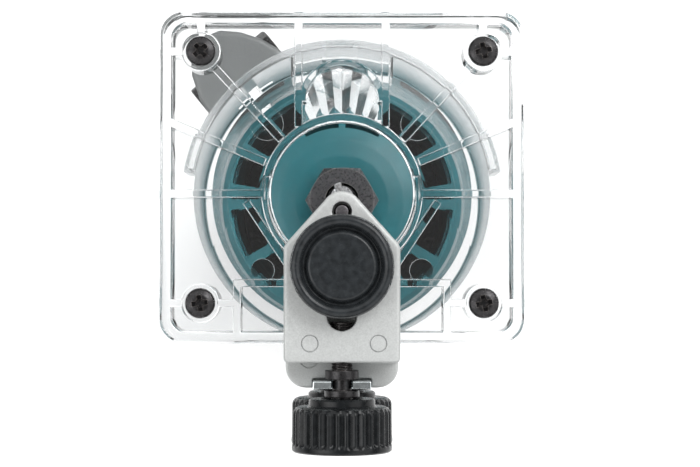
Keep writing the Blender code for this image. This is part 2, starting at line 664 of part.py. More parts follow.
def clamp_lever():
    half = LEVER_HALF_LENGTH
    hood = extruded([lever_hood()], LEVER_HEIGHT - HOOD_HALF_HEIGHT, LEVER_HEIGHT + HOOD_HALF_HEIGHT)
    lever = piece("clamp_lever", at_lever(hood), LEVER_GREY)
    inward = box((30, -20, LEVER_HEIGHT - 20), (LEVER_REACH, 20, LEVER_HEIGHT + 20))
    hub = rod(LEVER_HUB, (LEVER_REACH, -half, LEVER_HEIGHT), (LEVER_REACH, half, LEVER_HEIGHT), FINE)
    tongue = extruded([rounded(53.2, 57.4, -6.5, 6.5, 1.6, 2)], LEVER_HEIGHT - 34, LEVER_HEIGHT - 2)
    bolt_room = rod(2.7, (LEVER_REACH, -20, LEVER_HEIGHT), (LEVER_REACH, 20, LEVER_HEIGHT), SMALL)
    combine(lever, "DIFFERENCE", [at_lever(inward)])
    combine(lever, "UNION", [at_lever(hub), at_lever(tongue)])
    combine(lever, "DIFFERENCE", [*ear_room(), at_lever(bolt_room)])
    for low, high in ((-20, -BOLT_SEAT), (BOLT_SEAT, 20)):
        pocket = rod(BOLT_POCKET, (LEVER_REACH, low, LEVER_HEIGHT), (LEVER_REACH, high, LEVER_HEIGHT), ROUND)
        combine(lever, "DIFFERENCE", [at_lever(pocket)])
    parent_at(lever, "clamp_lever_axis", at_bearing(0))


def at_bearing(along):
    """A point on the bolt's axis."""
    x, y = polar(LEVER_REACH, LEVER_BEARING)
    return x - along * math.sin(LEVER_BEARING), y + along * math.cos(LEVER_BEARING), LEVER_HEIGHT


def clamp_bolt():
    near, far = BOLT_SEAT + GAP, LEVER_HALF_LENGTH - 0.2
    shank = rod(2.4, (LEVER_REACH, -far, LEVER_HEIGHT), (LEVER_REACH, near + 0.5, LEVER_HEIGHT), SMALL)
    bolt = piece("clamp_bolt", at_lever(shank), BLACK_STEEL)
    head = rod(4.2, (LEVER_REACH, near, LEVER_HEIGHT), (LEVER_REACH, far, LEVER_HEIGHT), ROUND)
    combine(bolt, "UNION", [at_lever(head)])
    outline = extruded([circle(4.6, 6), circle(2.7, SMALL)], near, far)
    outline.transform(Matrix.Rotation(math.pi / 2, 4, "X"))
    outline.transform(Matrix.Translation((LEVER_REACH, 0, LEVER_HEIGHT)))
    piece("clamp_nut", at_lever(outline), BLACK_STEEL)


def parent_at(child, name, place):
    """Parents a moving piece to an empty that stands on its joint's axis."""
    axis = bpy.data.objects.new(name, None)
    axis.location = Vector(place) * MM
    axis.empty_display_size = 10 * MM
    parts.objects.link(axis)
    child.parent = axis
    child.matrix_parent_inverse = Matrix.Translation(Vector(place) * MM).inverted()
    return axis


# Roller guide


def guide_holder():
    outline = rounded(-GUIDE_HALF_WIDTH + 0.3, GUIDE_HALF_WIDTH - 0.3, HOLDER_END, HOLDER_NEAR, 5.0)
    holder = piece("guide_holder", extruded([outline], HOLDER_BOTTOM, HOLDER_TOP), CASTING)
    leg = box((-GUIDE_HALF_WIDTH + 0.6, LEG_OUTER, LEG_BOTTOM), (GUIDE_HALF_WIDTH - 0.6, LEG_INNER, HOLDER_TOP - 1))
    combine(holder, "UNION", [leg])
    stud_hole = rod(STUD_RADIUS + GAP, (0, ARM_STUD_Y, 190), (0, ARM_STUD_Y, 210), ROUND)
    side_hole = rod(STUD_RADIUS + GAP, (0, -50, SIDE_AXIS_Z), (0, -30, SIDE_AXIS_Z), ROUND)
    fork_slot = box((-7.3, -47.9, HOLDER_TOP - 1.5), (7.3, -45.3, HOLDER_TOP + 1))
    combine(holder, "DIFFERENCE", [stud_hole, side_hole, fork_slot])


def screw_retainer():
    low = HOLDER_TOP - 1.2
    plate = piece("screw_retainer", box((-7, -47.6, low), (7, -45.6, 210.2)), ZINC)
    neck = box((-2.6, -50, SCREW_AXIS_Z), (2.6, -40, 214))
    seat = rod(2.6, (0, -50, SCREW_AXIS_Z), (0, -40, SCREW_AXIS_Z), SMALL)
    combine(plate, "DIFFERENCE", [neck, seat])


def arm_outline():
    """The arm seen along Z: a round tip over the roller, tapering out to straight sides."""
    half = GUIDE_HALF_WIDTH
    tip = arc((0, ROLLER_Y), TIP_RADIUS, 145, 35, 8)
    right = [(half - 0.6, ARM_SHOULDER), (half, ARM_SHOULDER - 1.0)]
    corner = [(half, ARM_END + 1.0), (half - 1.0, ARM_END)]
    left = [(-x, y) for x, y in reversed(right + corner)]
    return tip + right + corner + left


def guide_arm():
    arm = piece("guide_arm", extruded([arm_outline()], ARM_BOTTOM, ARM_TOP), CASTING)
    slot = rounded(-SLOT_HALF_WIDTH, SLOT_HALF_WIDTH, SLOT_END, SLOT_START, SLOT_HALF_WIDTH - 0.01)
    thread = rod(SCREW_RADIUS + GAP, (0, -45, SCREW_AXIS_Z), (0, -28, SCREW_AXIS_Z), ROUND)
    pin_hole = rod(PIN_RADIUS + GAP, (0, ROLLER_Y, 195), (0, ROLLER_Y, 215), SMALL)
    counterbore = rod(2.4, (0, ROLLER_Y, ARM_TOP - 3.0), (0, ROLLER_Y, 215), ROUND)
    combine(arm, "DIFFERENCE", [extruded([slot], ARM_BOTTOM - 3, ARM_TOP + 3), thread, pin_hole, counterbore])


def roller():
    shape = ring(PIN_RADIUS + GAP, ROLLER_RADIUS, ROLLER_BOTTOM, ROLLER_TOP)
    shape.transform(Matrix.Translation((0, ROLLER_Y, 0)))
    parent_at(piece("guide_roller", shape, STEEL), "guide_roller_axis", (0, ROLLER_Y, ROLLER_TOP))
    profile = [(PIN_RADIUS, ARM_TOP - 0.5), (PIN_RADIUS, ROLLER_BOTTOM - GAP), (2.6, ROLLER_BOTTOM - GAP),
               (2.6, ROLLER_BOTTOM - 0.8)]
    pin = solid_turned(profile, SMALL)
    pin.transform(Matrix.Translation((0, ROLLER_Y, 0)))
    piece("roller_pin", pin, BLACK_STEEL)


def arm_clamp():
    stud = rod(STUD_RADIUS, (0, ARM_STUD_Y, HOLDER_BOTTOM + 0.2), (0, ARM_STUD_Y, DISC_BOTTOM + 2.6), ROUND)
    stud = piece("arm_clamp_stud", stud, STEEL)
    hub = STUD_RADIUS + GAP
    profile = [
        (0, DISC_TOP - 0.6), (7.4, DISC_TOP - 0.6), (7.6, DISC_TOP - 1.8), (8.6, DISC_TOP - 1.8),
        (8.9, DISC_TOP), (11.4, DISC_TOP), (DISC_RADIUS, DISC_TOP - 1.0), (DISC_RADIUS, DISC_BOTTOM + 1.2),
        (DISC_RADIUS - 1.5, DISC_BOTTOM), (hub, DISC_BOTTOM), (hub, DISC_BOTTOM + 3.0), (0, DISC_BOTTOM + 3.0),
    ]
    shape = turned(profile, FINE, False)
    shape.transform(Matrix.Translation((0, ARM_STUD_Y, 0)))
    knob = piece("arm_clamp_knob", shape, BLACK_PLASTIC)
    washer = ring(STUD_RADIUS + GAP, 7.0, ARM_TOP + GAP, DISC_BOTTOM - GAP)
    washer.transform(Matrix.Translation((0, ARM_STUD_Y, 0)))
    piece("arm_clamp_washer", washer, ZINC)
    axis = parent_at(knob, "arm_clamp_axis", (0, ARM_STUD_Y, DISC_BOTTOM))
    stud.parent = axis
    stud.matrix_parent_inverse = knob.matrix_parent_inverse


def fluted(sections):
    """A solid along Z through sections of (radius, height, flute depth), with a flat cap at each end."""
    work = bmesh.new()
    rings = []
    for radius, height, depth in sections:
        points = [polar(radius - depth * (i % 2), math.pi * i / FLUTES) for i in range(FLUTES * 2)]
        rings.append([work.verts.new((x, y, height)) for x, y in points])
    for ring_a, ring_b in zip(rings, rings[1:]):
        for i in range(FLUTES * 2):
            work.faces.new((ring_a[i - 1], ring_a[i], ring_b[i], ring_b[i - 1]))
    work.faces.new(rings[0])
    work.faces.new(reversed(rings[-1]))
    bmesh.ops.recalc_face_normals(work, faces=work.faces)
    return mesh_of(work)


def knob(name, radius, axis_z, flange, start, end, collar_start, hub):
    """A fluted knob along Y with a flange, hollow round its screw."""
    sections = [(hub, start - 6.5, 0), (hub, collar_start, 0), (flange, collar_start, 0),
                (flange, start, 0), (radius - 1.2, start, 0), (radius - 0.2, start - 1.0, 0.7),
                (radius - 0.2, end + 1.8, 0.7), (radius, end + 1.4, 0), (radius, end, 0)]
    return piece(name, along_y(fluted(sections), 0, axis_z), BLACK_PLASTIC)


def adjusting_screw():
    profile = [(SCREW_RADIUS, -31.5), (SCREW_RADIUS, -43.1), (4.1, -43.1), (4.1, -45.3), (2.3, -45.3),
               (2.3, -47.9), (4.2, -47.9), (4.2, -49.6), (SCREW_RADIUS, -49.6), (SCREW_RADIUS, -57.8)]
    screw = piece("adjusting_screw", along_y(solid_turned(profile, ROUND), 0, SCREW_AXIS_Z), BLACK_STEEL)
    handle = knob("adjusting_knob", KNOB_RADIUS, SCREW_AXIS_Z, 8.0, KNOB_START, KNOB_END, -49.9,
                  SCREW_RADIUS + GAP)
    axis = parent_at(screw, "adjusting_axis", (0, -46.6, SCREW_AXIS_Z))
    handle.parent = axis
    handle.matrix_parent_inverse = screw.matrix_parent_inverse


def side_clamp():
    shank = rod(STUD_RADIUS, (0, -57.0, SIDE_AXIS_Z), (0, -34.0, SIDE_AXIS_Z), ROUND)
    stud = piece("side_clamp_stud", shank, STEEL)
    washer = ring(STUD_RADIUS + GAP, 7.0, -43.6, LEG_OUTER - GAP)
    piece("side_clamp_washer", along_y(washer, 0, SIDE_AXIS_Z), ZINC)
    handle = knob("side_clamp_knob", SIDE_KNOB_RADIUS, SIDE_AXIS_Z, 8.6, SIDE_KNOB_START, SIDE_KNOB_END,
                  -49.8, STUD_RADIUS + GAP)
    collar = along_y(ring(STUD_RADIUS + GAP, 5.5, -50.2, -43.9), 0, SIDE_AXIS_Z)
    combine(handle, "UNION", [collar])
    axis = parent_at(handle, "side_clamp_axis", (0, -43.9, SIDE_AXIS_Z))
    stud.parent = axis
    stud.matrix_parent_inverse = handle.matrix_parent_inverse


clear_scene()
parts = new_collection("trim_router")
cutters = new_collection("cutters")
motor_housing()
head_cover()
head_screws()
switch()
bearing_bracket()
bearings()
stator()
field_coils()
brushes()
fan_baffle()
armature()
cooling_fan()
collet()
straight_bit()
base_body()
side_insert()
base_plate()
chip_deflector()
clamp_lever()
clamp_bolt()
guide_holder()
screw_retainer()
guide_arm()
roller()
arm_clamp()
adjusting_screw()
side_clamp()
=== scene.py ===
"""The looks of the trim router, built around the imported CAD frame.

Lengths are millimetres until a mesh is finished, when it is scaled to metres.
"""

import json
import math

import bmesh
import bpy
from mathutils import Matrix, Vector

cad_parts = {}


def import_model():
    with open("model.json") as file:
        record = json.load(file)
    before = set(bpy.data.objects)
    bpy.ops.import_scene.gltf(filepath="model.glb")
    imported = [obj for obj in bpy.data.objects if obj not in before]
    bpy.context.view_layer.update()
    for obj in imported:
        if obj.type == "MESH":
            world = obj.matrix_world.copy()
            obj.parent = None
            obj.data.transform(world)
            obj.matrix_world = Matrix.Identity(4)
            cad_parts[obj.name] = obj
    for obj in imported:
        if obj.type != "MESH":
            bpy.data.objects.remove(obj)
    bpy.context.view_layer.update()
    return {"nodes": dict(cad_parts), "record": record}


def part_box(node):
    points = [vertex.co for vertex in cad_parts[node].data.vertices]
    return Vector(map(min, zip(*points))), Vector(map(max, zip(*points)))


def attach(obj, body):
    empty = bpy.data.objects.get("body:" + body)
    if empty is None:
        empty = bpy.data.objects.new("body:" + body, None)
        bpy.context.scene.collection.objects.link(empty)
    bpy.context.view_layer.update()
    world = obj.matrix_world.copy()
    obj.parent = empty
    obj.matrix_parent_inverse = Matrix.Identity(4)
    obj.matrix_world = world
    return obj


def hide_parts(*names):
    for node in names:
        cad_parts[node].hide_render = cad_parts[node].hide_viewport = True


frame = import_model()

MM = 0.001


def low(node):
    return Vector(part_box(node)[0]) / MM


def high(node):
    return Vector(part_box(node)[1]) / MM


def middle(node):
    return (low(node) + high(node)) / 2


# ---------------------------------------------------------------- sizes

SOLE = high("sole_plate").z
PLATE_BACK = low("sole_plate").z
FLANGE_BACK = PLATE_BACK - 11.0
SKIN_THICK = 2.5
FLANGE_FRONT = PLATE_BACK - 0.3
CLAMP_END = low("base_body").z
LEFT, RIGHT = low("sole_plate").x, high("sole_plate").x
NEAR, FAR = low("sole_plate").y, high("sole_plate").y
CORNER = 6.0
THROAT = 17.5
CLAMP_INNER, CLAMP_OUTER = 32.8, 37.5
SCREWS = [f"base_screw_{n}" for n in range(1, 5)]
SIDE_AXIS = middle("side_clamp_stud").z
LEVER_BEARING = 129.0
LEVER_REACH = 46.0
LEVER_Z = middle("clamp_bolt").z


# ---------------------------------------------------------------- outlines


def polar(radius, degrees, centre=(0, 0)):
    angle = math.radians(degrees)
    return centre[0] + radius * math.cos(angle), centre[1] + radius * math.sin(angle)


def arc(centre, radius, start, end, steps):
    return [polar(radius, start + (end - start) * i / steps, centre) for i in range(steps + 1)]


def circle(radius, sides=96, centre=(0, 0)):
    return arc(centre, radius, 0, 360, sides)[:-1]


def rounded(left, right, low_y, high_y, radius, steps=8):
    """A rectangle with round corners."""
    corners = (
        ((right - radius, high_y - radius), 0),
        ((left + radius, high_y - radius), 90),
        ((left + radius, low_y + radius), 180),
        ((right - radius, low_y + radius), 270),
    )
    return [p for centre, start in corners for p in arc(centre, radius, start, start + 90, steps)]


def sector(inner, outer, start, end, steps=12):
    return arc((0, 0), outer, start, end, steps) + arc((0, 0), inner, end, start, steps)


def filleted(points, closed=True, steps=5):
    """Rounds a chain of (x, y, radius) points, each corner by its own radius."""
    made = []
    count = len(points)
    for i, (x, y, radius) in enumerate(points):
        if radius == 0 or (not closed and i in (0, count - 1)):
            made.append((x, y))
            continue
        here = Vector((x, y))
        before = (Vector(points[i - 1][:2]) - here).normalized()
        after = (Vector(points[(i + 1) % count][:2]) - here).normalized()
        half = before.angle(after) / 2
        if abs(half - math.pi / 2) < 0.02:
            made.append((x, y))
            continue
        reach = radius / math.tan(half)
        centre = here + (before + after).normalized() * (radius / math.sin(half))
        start = here + before * reach - centre
        turn = start.angle_signed(here + after * reach - centre)
        for j in range(steps + 1):
            spoke = start.copy()
            spoke.rotate(Matrix.Rotation(-turn * j / steps, 2))
            made.append(tuple(centre + spoke))
    return made


# ---------------------------------------------------------------- solids


def mesh_of(work):
    """The finished mesh of a closed shape, its faces pointing out."""
    if work.calc_volume(signed=True) < 0:
        bmesh.ops.reverse_faces(work, faces=work.faces)
    made = bpy.data.meshes.new("shape")
    work.to_mesh(made)
    work.free()
    return made


def rings_mesh(rings, wrap_ends=False):
    """Joins rings of points, in order. A ring of one point closes the shape there."""
    work = bmesh.new()
    verts = [[work.verts.new(p) for p in ring] for ring in rings]
    pairs = list(zip(verts, verts[1:])) + ([(verts[-1], verts[0])] if wrap_ends else [])
    for ring_a, ring_b in pairs:
        count = max(len(ring_a), len(ring_b))
        for i in range(count):
            corners = [ring_a[(i - 1) % len(ring_a)], ring_a[i % len(ring_a)],
                       ring_b[i % len(ring_b)], ring_b[(i - 1) % len(ring_b)]]
            work.faces.new(list(dict.fromkeys(corners)))
    if not wrap_ends:
        for ring in (verts[0], verts[-1]):
            if len(ring) > 1:
                work.faces.new(ring)
    bmesh.ops.recalc_face_normals(work, faces=work.faces)
    return mesh_of(work)


def turned(profile, sides=96, closed=True):
    """A profile of (radius, height) swept round Z."""
    rings = []
    for radius, height in profile:
        if radius < 1e-6:
            rings.append([(0, 0, height)])
        else:
            rings.append([(*p, height) for p in circle(radius, sides)])
    return rings_mesh(rings, closed)


def ring(inner, outer, bottom, top, edge=0.3, sides=96):
    profile = [(outer, top, edge), (outer, bottom, edge), (inner, bottom, edge), (inner, top, edge)]
    return turned(filleted(profile), sides)


def stub(radius, bottom, top, edge=0.3, sides=64):
    """A solid round bar along Z with rounded rims."""
    profile = [(0, top, 0), (radius, top, edge), (radius, bottom, edge), (0, bottom, 0)]
    return turned(filleted(profile, closed=False), sides, closed=False)


def box(low_corner, high_corner, edge=0.0, segments=3):
    work = bmesh.new()
    bmesh.ops.create_cube(work, size=1)
    size = Vector(high_corner) - Vector(low_corner)
    centre = (Vector(high_corner) + Vector(low_corner)) / 2
    work.transform(Matrix.Translation(centre) @ Matrix.Diagonal((*size, 1)))
    if edge:
        bmesh.ops.bevel(work, geom=work.edges, offset=edge, segments=segments, profile=0.5,
                        affect="EDGES", clamp_overlap=True)
    return mesh_of(work)


def baked(carrier):
    """The evaluated mesh of a scratch object, which is then removed."""
    bpy.context.view_layer.update()
    graph = bpy.context.evaluated_depsgraph_get()
    made = bpy.data.meshes.new_from_object(carrier.evaluated_get(graph))
    bpy.data.objects.remove(carrier, do_unlink=True)
    return made


def scratch(data):
    made = bpy.data.objects.new("scratch", data)
    bpy.context.scene.collection.objects.link(made)
    return made


def extruded(loops, bottom, top, edge=0.0):
    """A flat outline with holes, made thick along Z, its rims rounded by edge."""
    data = bpy.data.curves.new("outline", "CURVE")
    data.dimensions = "2D"
    data.fill_mode = "BOTH"
    data.extrude = (top - bottom) / 2 - edge
    data.bevel_depth = edge
    data.bevel_resolution = 2
    data.offset = -edge
    for loop in loops:
        spline = data.splines.new("POLY")
        spline.points.add(len(loop) - 1)
        spline.use_cyclic_u = True
        for point, (x, y) in zip(spline.points, loop):
            point.co = (x, y, 0, 1)
    made = baked(scratch(data))
    work = bmesh.new()
    work.from_mesh(made)
    bmesh.ops.remove_doubles(work, verts=work.verts, dist=0.0005)
    work.transform(Matrix.Translation((0, 0, (top + bottom) / 2)))
    return mesh_of(work)


def moved(mesh, matrix):
    mesh.transform(matrix)
    return mesh


def shifted(mesh, x=0.0, y=0.0, z=0.0):
    return moved(mesh, Matrix.Translation((x, y, z)))


def spun(mesh, degrees):
    return moved(mesh, Matrix.Rotation(math.radians(degrees), 4, "Z"))


def along_y(mesh, x, z):
    """Lays a piece made along Z on an axis that points to +Y."""
    return moved(mesh, Matrix.Translation((x, 0, z)) @ Matrix.Rotation(-math.pi / 2, 4, "X"))


def combined(mesh, adds=(), cuts=()):
    """One closed body from overlapping shapes."""
    carrier = scratch(mesh)
    helpers = []
    for operation, shapes in (("UNION", adds), ("DIFFERENCE", cuts)):
        for shape in shapes:
            helper = scratch(shape)
            helper.hide_render = True
            helpers.append(helper)
            modifier = carrier.modifiers.new("join", "BOOLEAN")
            modifier.operation = operation
            modifier.object = helper
            modifier.solver = "MANIFOLD"
    made = baked(carrier)
    for helper in helpers:
        bpy.data.objects.remove(helper, do_unlink=True)
    return made


def common(mesh, other):
    """The part that two closed bodies share."""
    carrier, helper = scratch(mesh), scratch(other)
    modifier = carrier.modifiers.new("share", "BOOLEAN")
    modifier.operation = "INTERSECT"
    modifier.object = helper
    modifier.solver = "MANIFOLD"
    made = baked(carrier)
    bpy.data.objects.remove(helper, do_unlink=True)
    return made


def softened(mesh, voxel, rounds):
    """Melts a body's edges together the way a casting's are."""
    carrier = scratch(mesh)
    remesh = carrier.modifiers.new("remesh", "REMESH")
    remesh.mode = "VOXEL"
    remesh.voxel_size = voxel
    smooth = carrier.modifiers.new("smooth", "SMOOTH")
    smooth.factor = 0.5
    smooth.iterations = rounds
    return baked(carrier)


# ---------------------------------------------------------------- materials


class Look:
    """A procedural material being built: a Principled shader and the nodes that drive it."""

    def __init__(self, name, colour, roughness, metallic=0.0, **sockets):
        self.material = bpy.data.materials.new(name)
        self.material.use_nodes = True
        self.tree = self.material.node_tree
        self.shader = self.tree.nodes["Principled BSDF"]
        self.place = self.node("TexCoord").outputs["Object"]
        self.normal = None
        self.set("Base Color", (*colour, 1))
        self.set("Roughness", roughness)
        self.set("Metallic", metallic)
        for socket, value in sockets.items():
            self.set(socket.replace("_", " "), value)

    def node(self, kind, **settings):
        made = self.tree.nodes.new("ShaderNode" + kind)
        for name, value in settings.items():
            setattr(made, name, value)
        return made

    def set(self, socket, value):
        self.shader.inputs[socket].default_value = value

    def link(self, source, target):
        self.tree.links.new(source, target)

    def noise(self, scale_mm, detail=3.0, stretch=(1, 1, 1)):
        """A noise whose features are about scale_mm across."""
        mapping = self.node("Mapping")
        mapping.inputs["Scale"].default_value = stretch
        self.link(self.place, mapping.inputs["Vector"])
        texture = self.node("TexNoise")
        texture.inputs["Scale"].default_value = 1 / (scale_mm * MM)
        texture.inputs["Detail"].default_value = detail
        self.link(mapping.outputs["Vector"], texture.inputs["Vector"])
        return texture.outputs["Fac"]

    def between(self, factor, first, second, centre=0.5, spread=0.3):
        """Two colours mixed by a factor, as hard or soft as spread says."""
        ramp = self.node("ValToRGB")
        ramp.color_ramp.elements[0].position = centre - spread / 2
        ramp.color_ramp.elements[1].position = centre + spread / 2
        ramp.color_ramp.elements[0].color = (*first, 1)
        ramp.color_ramp.elements[1].color = (*second, 1)
        self.link(factor, ramp.inputs["Fac"])
        return ramp.outputs["Color"]

    def mottled(self, first, second, scale_mm, spread=0.3, **noise):
        self.link(self.between(self.noise(scale_mm, **noise), first, second, spread=spread),
                  self.shader.inputs["Base Color"])
        return self

    def varied_roughness(self, least, most, scale_mm, **noise):
        spread = self.node("MapRange")
        spread.inputs["From Min"].default_value = 0.3
        spread.inputs["From Max"].default_value = 0.7
        spread.inputs["To Min"].default_value = least
        spread.inputs["To Max"].default_value = most
        self.link(self.noise(scale_mm, **noise), spread.inputs["Value"])
        self.link(spread.outputs["Result"], self.shader.inputs["Roughness"])
        return self

    def bumped(self, scale_mm, depth_mm, strength=1.0, **noise):
        bump = self.node("Bump")
        bump.inputs["Strength"].default_value = strength
        bump.inputs["Distance"].default_value = depth_mm * MM
        self.link(self.noise(scale_mm, **noise), bump.inputs["Height"])
        if self.normal:
            self.link(self.normal, bump.inputs["Normal"])
        self.normal = bump.outputs["Normal"]
        self.link(self.normal, self.shader.inputs["Normal"])
        return self

    def edge_wear_and_highlight(self, colour, edge_mm, amount=0.5):
        """Lighter metal or plastic along edges: partly where an edge has been rubbed, partly a painted
        highlight where an edge catches the light.
        """
        bevel = self.node("Bevel", samples=4)
        bevel.inputs["Radius"].default_value = edge_mm * MM
        geometry = self.node("NewGeometry")
        facing = self.node("VectorMath", operation="DOT_PRODUCT")
        self.link(bevel.outputs["Normal"], facing.inputs[0])
        self.link(geometry.outputs["Normal"], facing.inputs[1])
        spread = self.node("MapRange")
        spread.inputs["From Min"].default_value = 0.995
        spread.inputs["From Max"].default_value = 0.86
        spread.inputs["To Max"].default_value = amount
        self.link(facing.outputs["Value"], spread.inputs["Value"])
        mix = self.node("Mix", data_type="RGBA")
        base = self.shader.inputs["Base Color"]
        mix.inputs["A"].default_value = base.default_value
        if base.links:
            self.link(base.links[0].from_socket, mix.inputs["A"])
        mix.inputs["B"].default_value = (*colour, 1)
        self.link(spread.outputs["Result"], mix.inputs["Factor"])
        self.link(mix.outputs["Result"], base)
        return self


def teal_plastic():
    look = Look("teal_plastic", (0.008, 0.085, 0.1), 0.34, Specular_IOR_Level=0.42)
    look.mottled((0.0075, 0.08, 0.094), (0.009, 0.09, 0.106), 9.0)
    look.varied_roughness(0.28, 0.4, 2.5)
    return look.bumped(0.22, 0.012, 0.5).material


def black_plastic(name="black_plastic", tone=1.0):
    look = Look(name, (0.006, 0.0065, 0.007), 0.25, Specular_IOR_Level=0.2)
    dark, light = (0.005 * tone, 0.0057 * tone, 0.0063 * tone), (0.009 * tone, 0.0102 * tone, 0.0112 * tone)
    look.mottled(dark, light, 1.8)
    look.varied_roughness(0.2, 0.3, 1.2)
    return look.bumped(0.3, 0.008, 0.35).material


def clear_plastic():
    """Polycarbonate, frosted on the outside of the clamp cylinder.

    Lamps shine through it, so what it covers is lit.
    """
    look = Look("clear_plastic", (0.97, 0.976, 0.978), 0.0, Transmission_Weight=1.0, IOR=1.5)
    split = look.node("SeparateXYZ")
    look.link(look.place, split.inputs["Vector"])
    flat = look.node("CombineXYZ")
    look.link(split.outputs["X"], flat.inputs["X"])
    look.link(split.outputs["Y"], flat.inputs["Y"])
    radius = look.node("VectorMath", operation="LENGTH")
    look.link(flat.outputs["Vector"], radius.inputs[0])
    outside = look.node("MapRange")
    outside.inputs["From Min"].default_value = (CLAMP_OUTER - 0.2) * MM
    outside.inputs["From Max"].default_value = (CLAMP_OUTER - 0.1) * MM
    look.link(radius.outputs["Value"], outside.inputs["Value"])
    below = look.node("Math", operation="LESS_THAN")
    below.inputs[1].default_value = (FLANGE_BACK - 0.3) * MM
    look.link(split.outputs["Z"], below.inputs[0])
    near = look.node("MapRange")
    near.inputs["From Min"].default_value = 12 * MM
    near.inputs["From Max"].default_value = 2 * MM
    look.link(split.outputs["Y"], near.inputs["Value"])
    band = look.node("Math", operation="MULTIPLY")
    look.link(outside.outputs["Result"], band.inputs[0])
    look.link(below.outputs["Value"], band.inputs[1])
    ribbed = look.node("Math", operation="GREATER_THAN")
    ribbed.inputs[1].default_value = (CLAMP_OUTER + 2.5) * MM
    look.link(radius.outputs["Value"], ribbed.inputs[0])
    coarse = look.node("Math", operation="MAXIMUM")
    look.link(near.outputs["Result"], coarse.inputs[0])
    look.link(ribbed.outputs["Value"], coarse.inputs[1])
    frosted = look.node("Math", operation="MULTIPLY")
    look.link(band.outputs["Value"], frosted.inputs[0])
    look.link(coarse.outputs["Value"], frosted.inputs[1])
    rough = look.node("MapRange")
    rough.inputs["To Min"].default_value = 0.0
    rough.inputs["To Max"].default_value = 0.2
    look.link(band.outputs["Value"], rough.inputs["Value"])
    look.link(rough.outputs["Result"], look.shader.inputs["Roughness"])
    grain = look.node("Bump")
    grain.inputs["Distance"].default_value = 0.25 * MM
    look.link(frosted.outputs["Value"], grain.inputs["Strength"])
    look.link(look.noise(0.9, stretch=(1, 1, 0.35)), grain.inputs["Height"])
    look.normal = grain.outputs["Normal"]
    look.bumped(9.0, 0.02, 0.2, detail=1.0)
    open_air = look.node("BsdfTransparent")
    open_air.inputs["Color"].default_value = (0.96, 0.975, 0.975, 1)
    path = look.node("LightPath")
    mix = look.node("MixShader")
    look.link(path.outputs["Is Shadow Ray"], mix.inputs["Fac"])
    look.link(look.shader.outputs["BSDF"], mix.inputs[1])
    look.link(open_air.outputs["BSDF"], mix.inputs[2])
    look.link(mix.outputs["Shader"], look.tree.nodes["Material Output"].inputs["Surface"])
    return look.material


def cast_metal(name, colour, roughness, metallic, grain):
    look = Look(name, colour, roughness, metallic)
    lighter = tuple(c * 1.12 for c in colour)
    darker = tuple(c * 0.86 for c in colour)
    look.mottled(darker, lighter, grain, spread=0.5, detail=4.0)
    look.varied_roughness(roughness - 0.08, roughness + 0.1, grain * 3)
    look.bumped(grain * 0.8, 0.05, 0.75)
    return look.bumped(grain * 3, 0.1, 0.5).material


def steel(name, colour, roughness, grain=0.3, stretch=(1, 1, 1)):
    look = Look(name, colour, roughness, 1.0)
    look.mottled(tuple(c * 0.85 for c in colour), tuple(c * 1.1 for c in colour), 2.5, stretch=stretch)
    look.varied_roughness(roughness * 0.8, roughness * 1.35, 0.8, stretch=stretch)
    return look.bumped(grain, 0.006, 0.4, stretch=stretch).material


def black_steel(name="black_steel", tone=1.0, edge_mm=0.16):
    look = Look(name, (0.02, 0.02, 0.021), 0.3, 0.6)
    dark, light = (0.011 * tone, 0.011 * tone, 0.012 * tone), (0.03 * tone, 0.028 * tone, 0.029 * tone)
    look.mottled(dark, light, 0.5, spread=0.45, detail=6.0)
    look.varied_roughness(0.22, 0.4, 0.6)
    look.bumped(0.2, 0.012, 0.5)
    # the lighter edge band is partly rubbed wear and partly a painted highlight along the edges
    return look.edge_wear_and_highlight((0.3, 0.27, 0.25), edge_mm, 0.6).material


def copper():
    look = Look("copper", (0.6, 0.24, 0.09), 0.35, 0.9)
    look.mottled((0.45, 0.16, 0.05), (0.7, 0.3, 0.12), 1.2, stretch=(1, 1, 6))
    return look.bumped(0.5, 0.1, 0.8, stretch=(0.2, 0.2, 3)).material


def lamination():
    """Stacked sheet steel, with a fine line between the sheets."""
    look = Look("lamination", (0.25, 0.25, 0.27), 0.5, 0.9)
    look.mottled((0.16, 0.16, 0.17), (0.32, 0.32, 0.34), 0.5, stretch=(0.05, 0.05, 1))
    return look.bumped(0.5, 0.06, 0.8, stretch=(0.05, 0.05, 1)).material


def carbon():
    look = Look("carbon", (0.02, 0.02, 0.021), 0.65, 0.1)
    look.mottled((0.012, 0.012, 0.012), (0.04, 0.04, 0.042), 0.4)
    return look.bumped(0.2, 0.02, 0.5).material


SKINS = {
    "teal_plastic": teal_plastic(),
    "black_plastic": black_plastic(),
    "clear_plastic": clear_plastic(),
    "casting": cast_metal("casting", (0.4, 0.41, 0.405), 0.5, 0.35, 0.35),
    "lever_casting": cast_metal("lever_casting", (0.14, 0.145, 0.145), 0.45, 0.4, 0.3),
    "steel": steel("steel", (0.6, 0.6, 0.61), 0.26),
    "black_steel": black_steel(),
    "zinc": steel("zinc", (0.68, 0.73, 0.74), 0.2, 0.5),
    "lamination": lamination(),
    "copper": copper(),
    "brass": steel("brass", (0.72, 0.5, 0.2), 0.3),
    "carbon": carbon(),
}


# ---------------------------------------------------------------- pieces

SLOT_OF = {part["node"]: part["material_slot"] for part in frame["record"]["subparts"]}


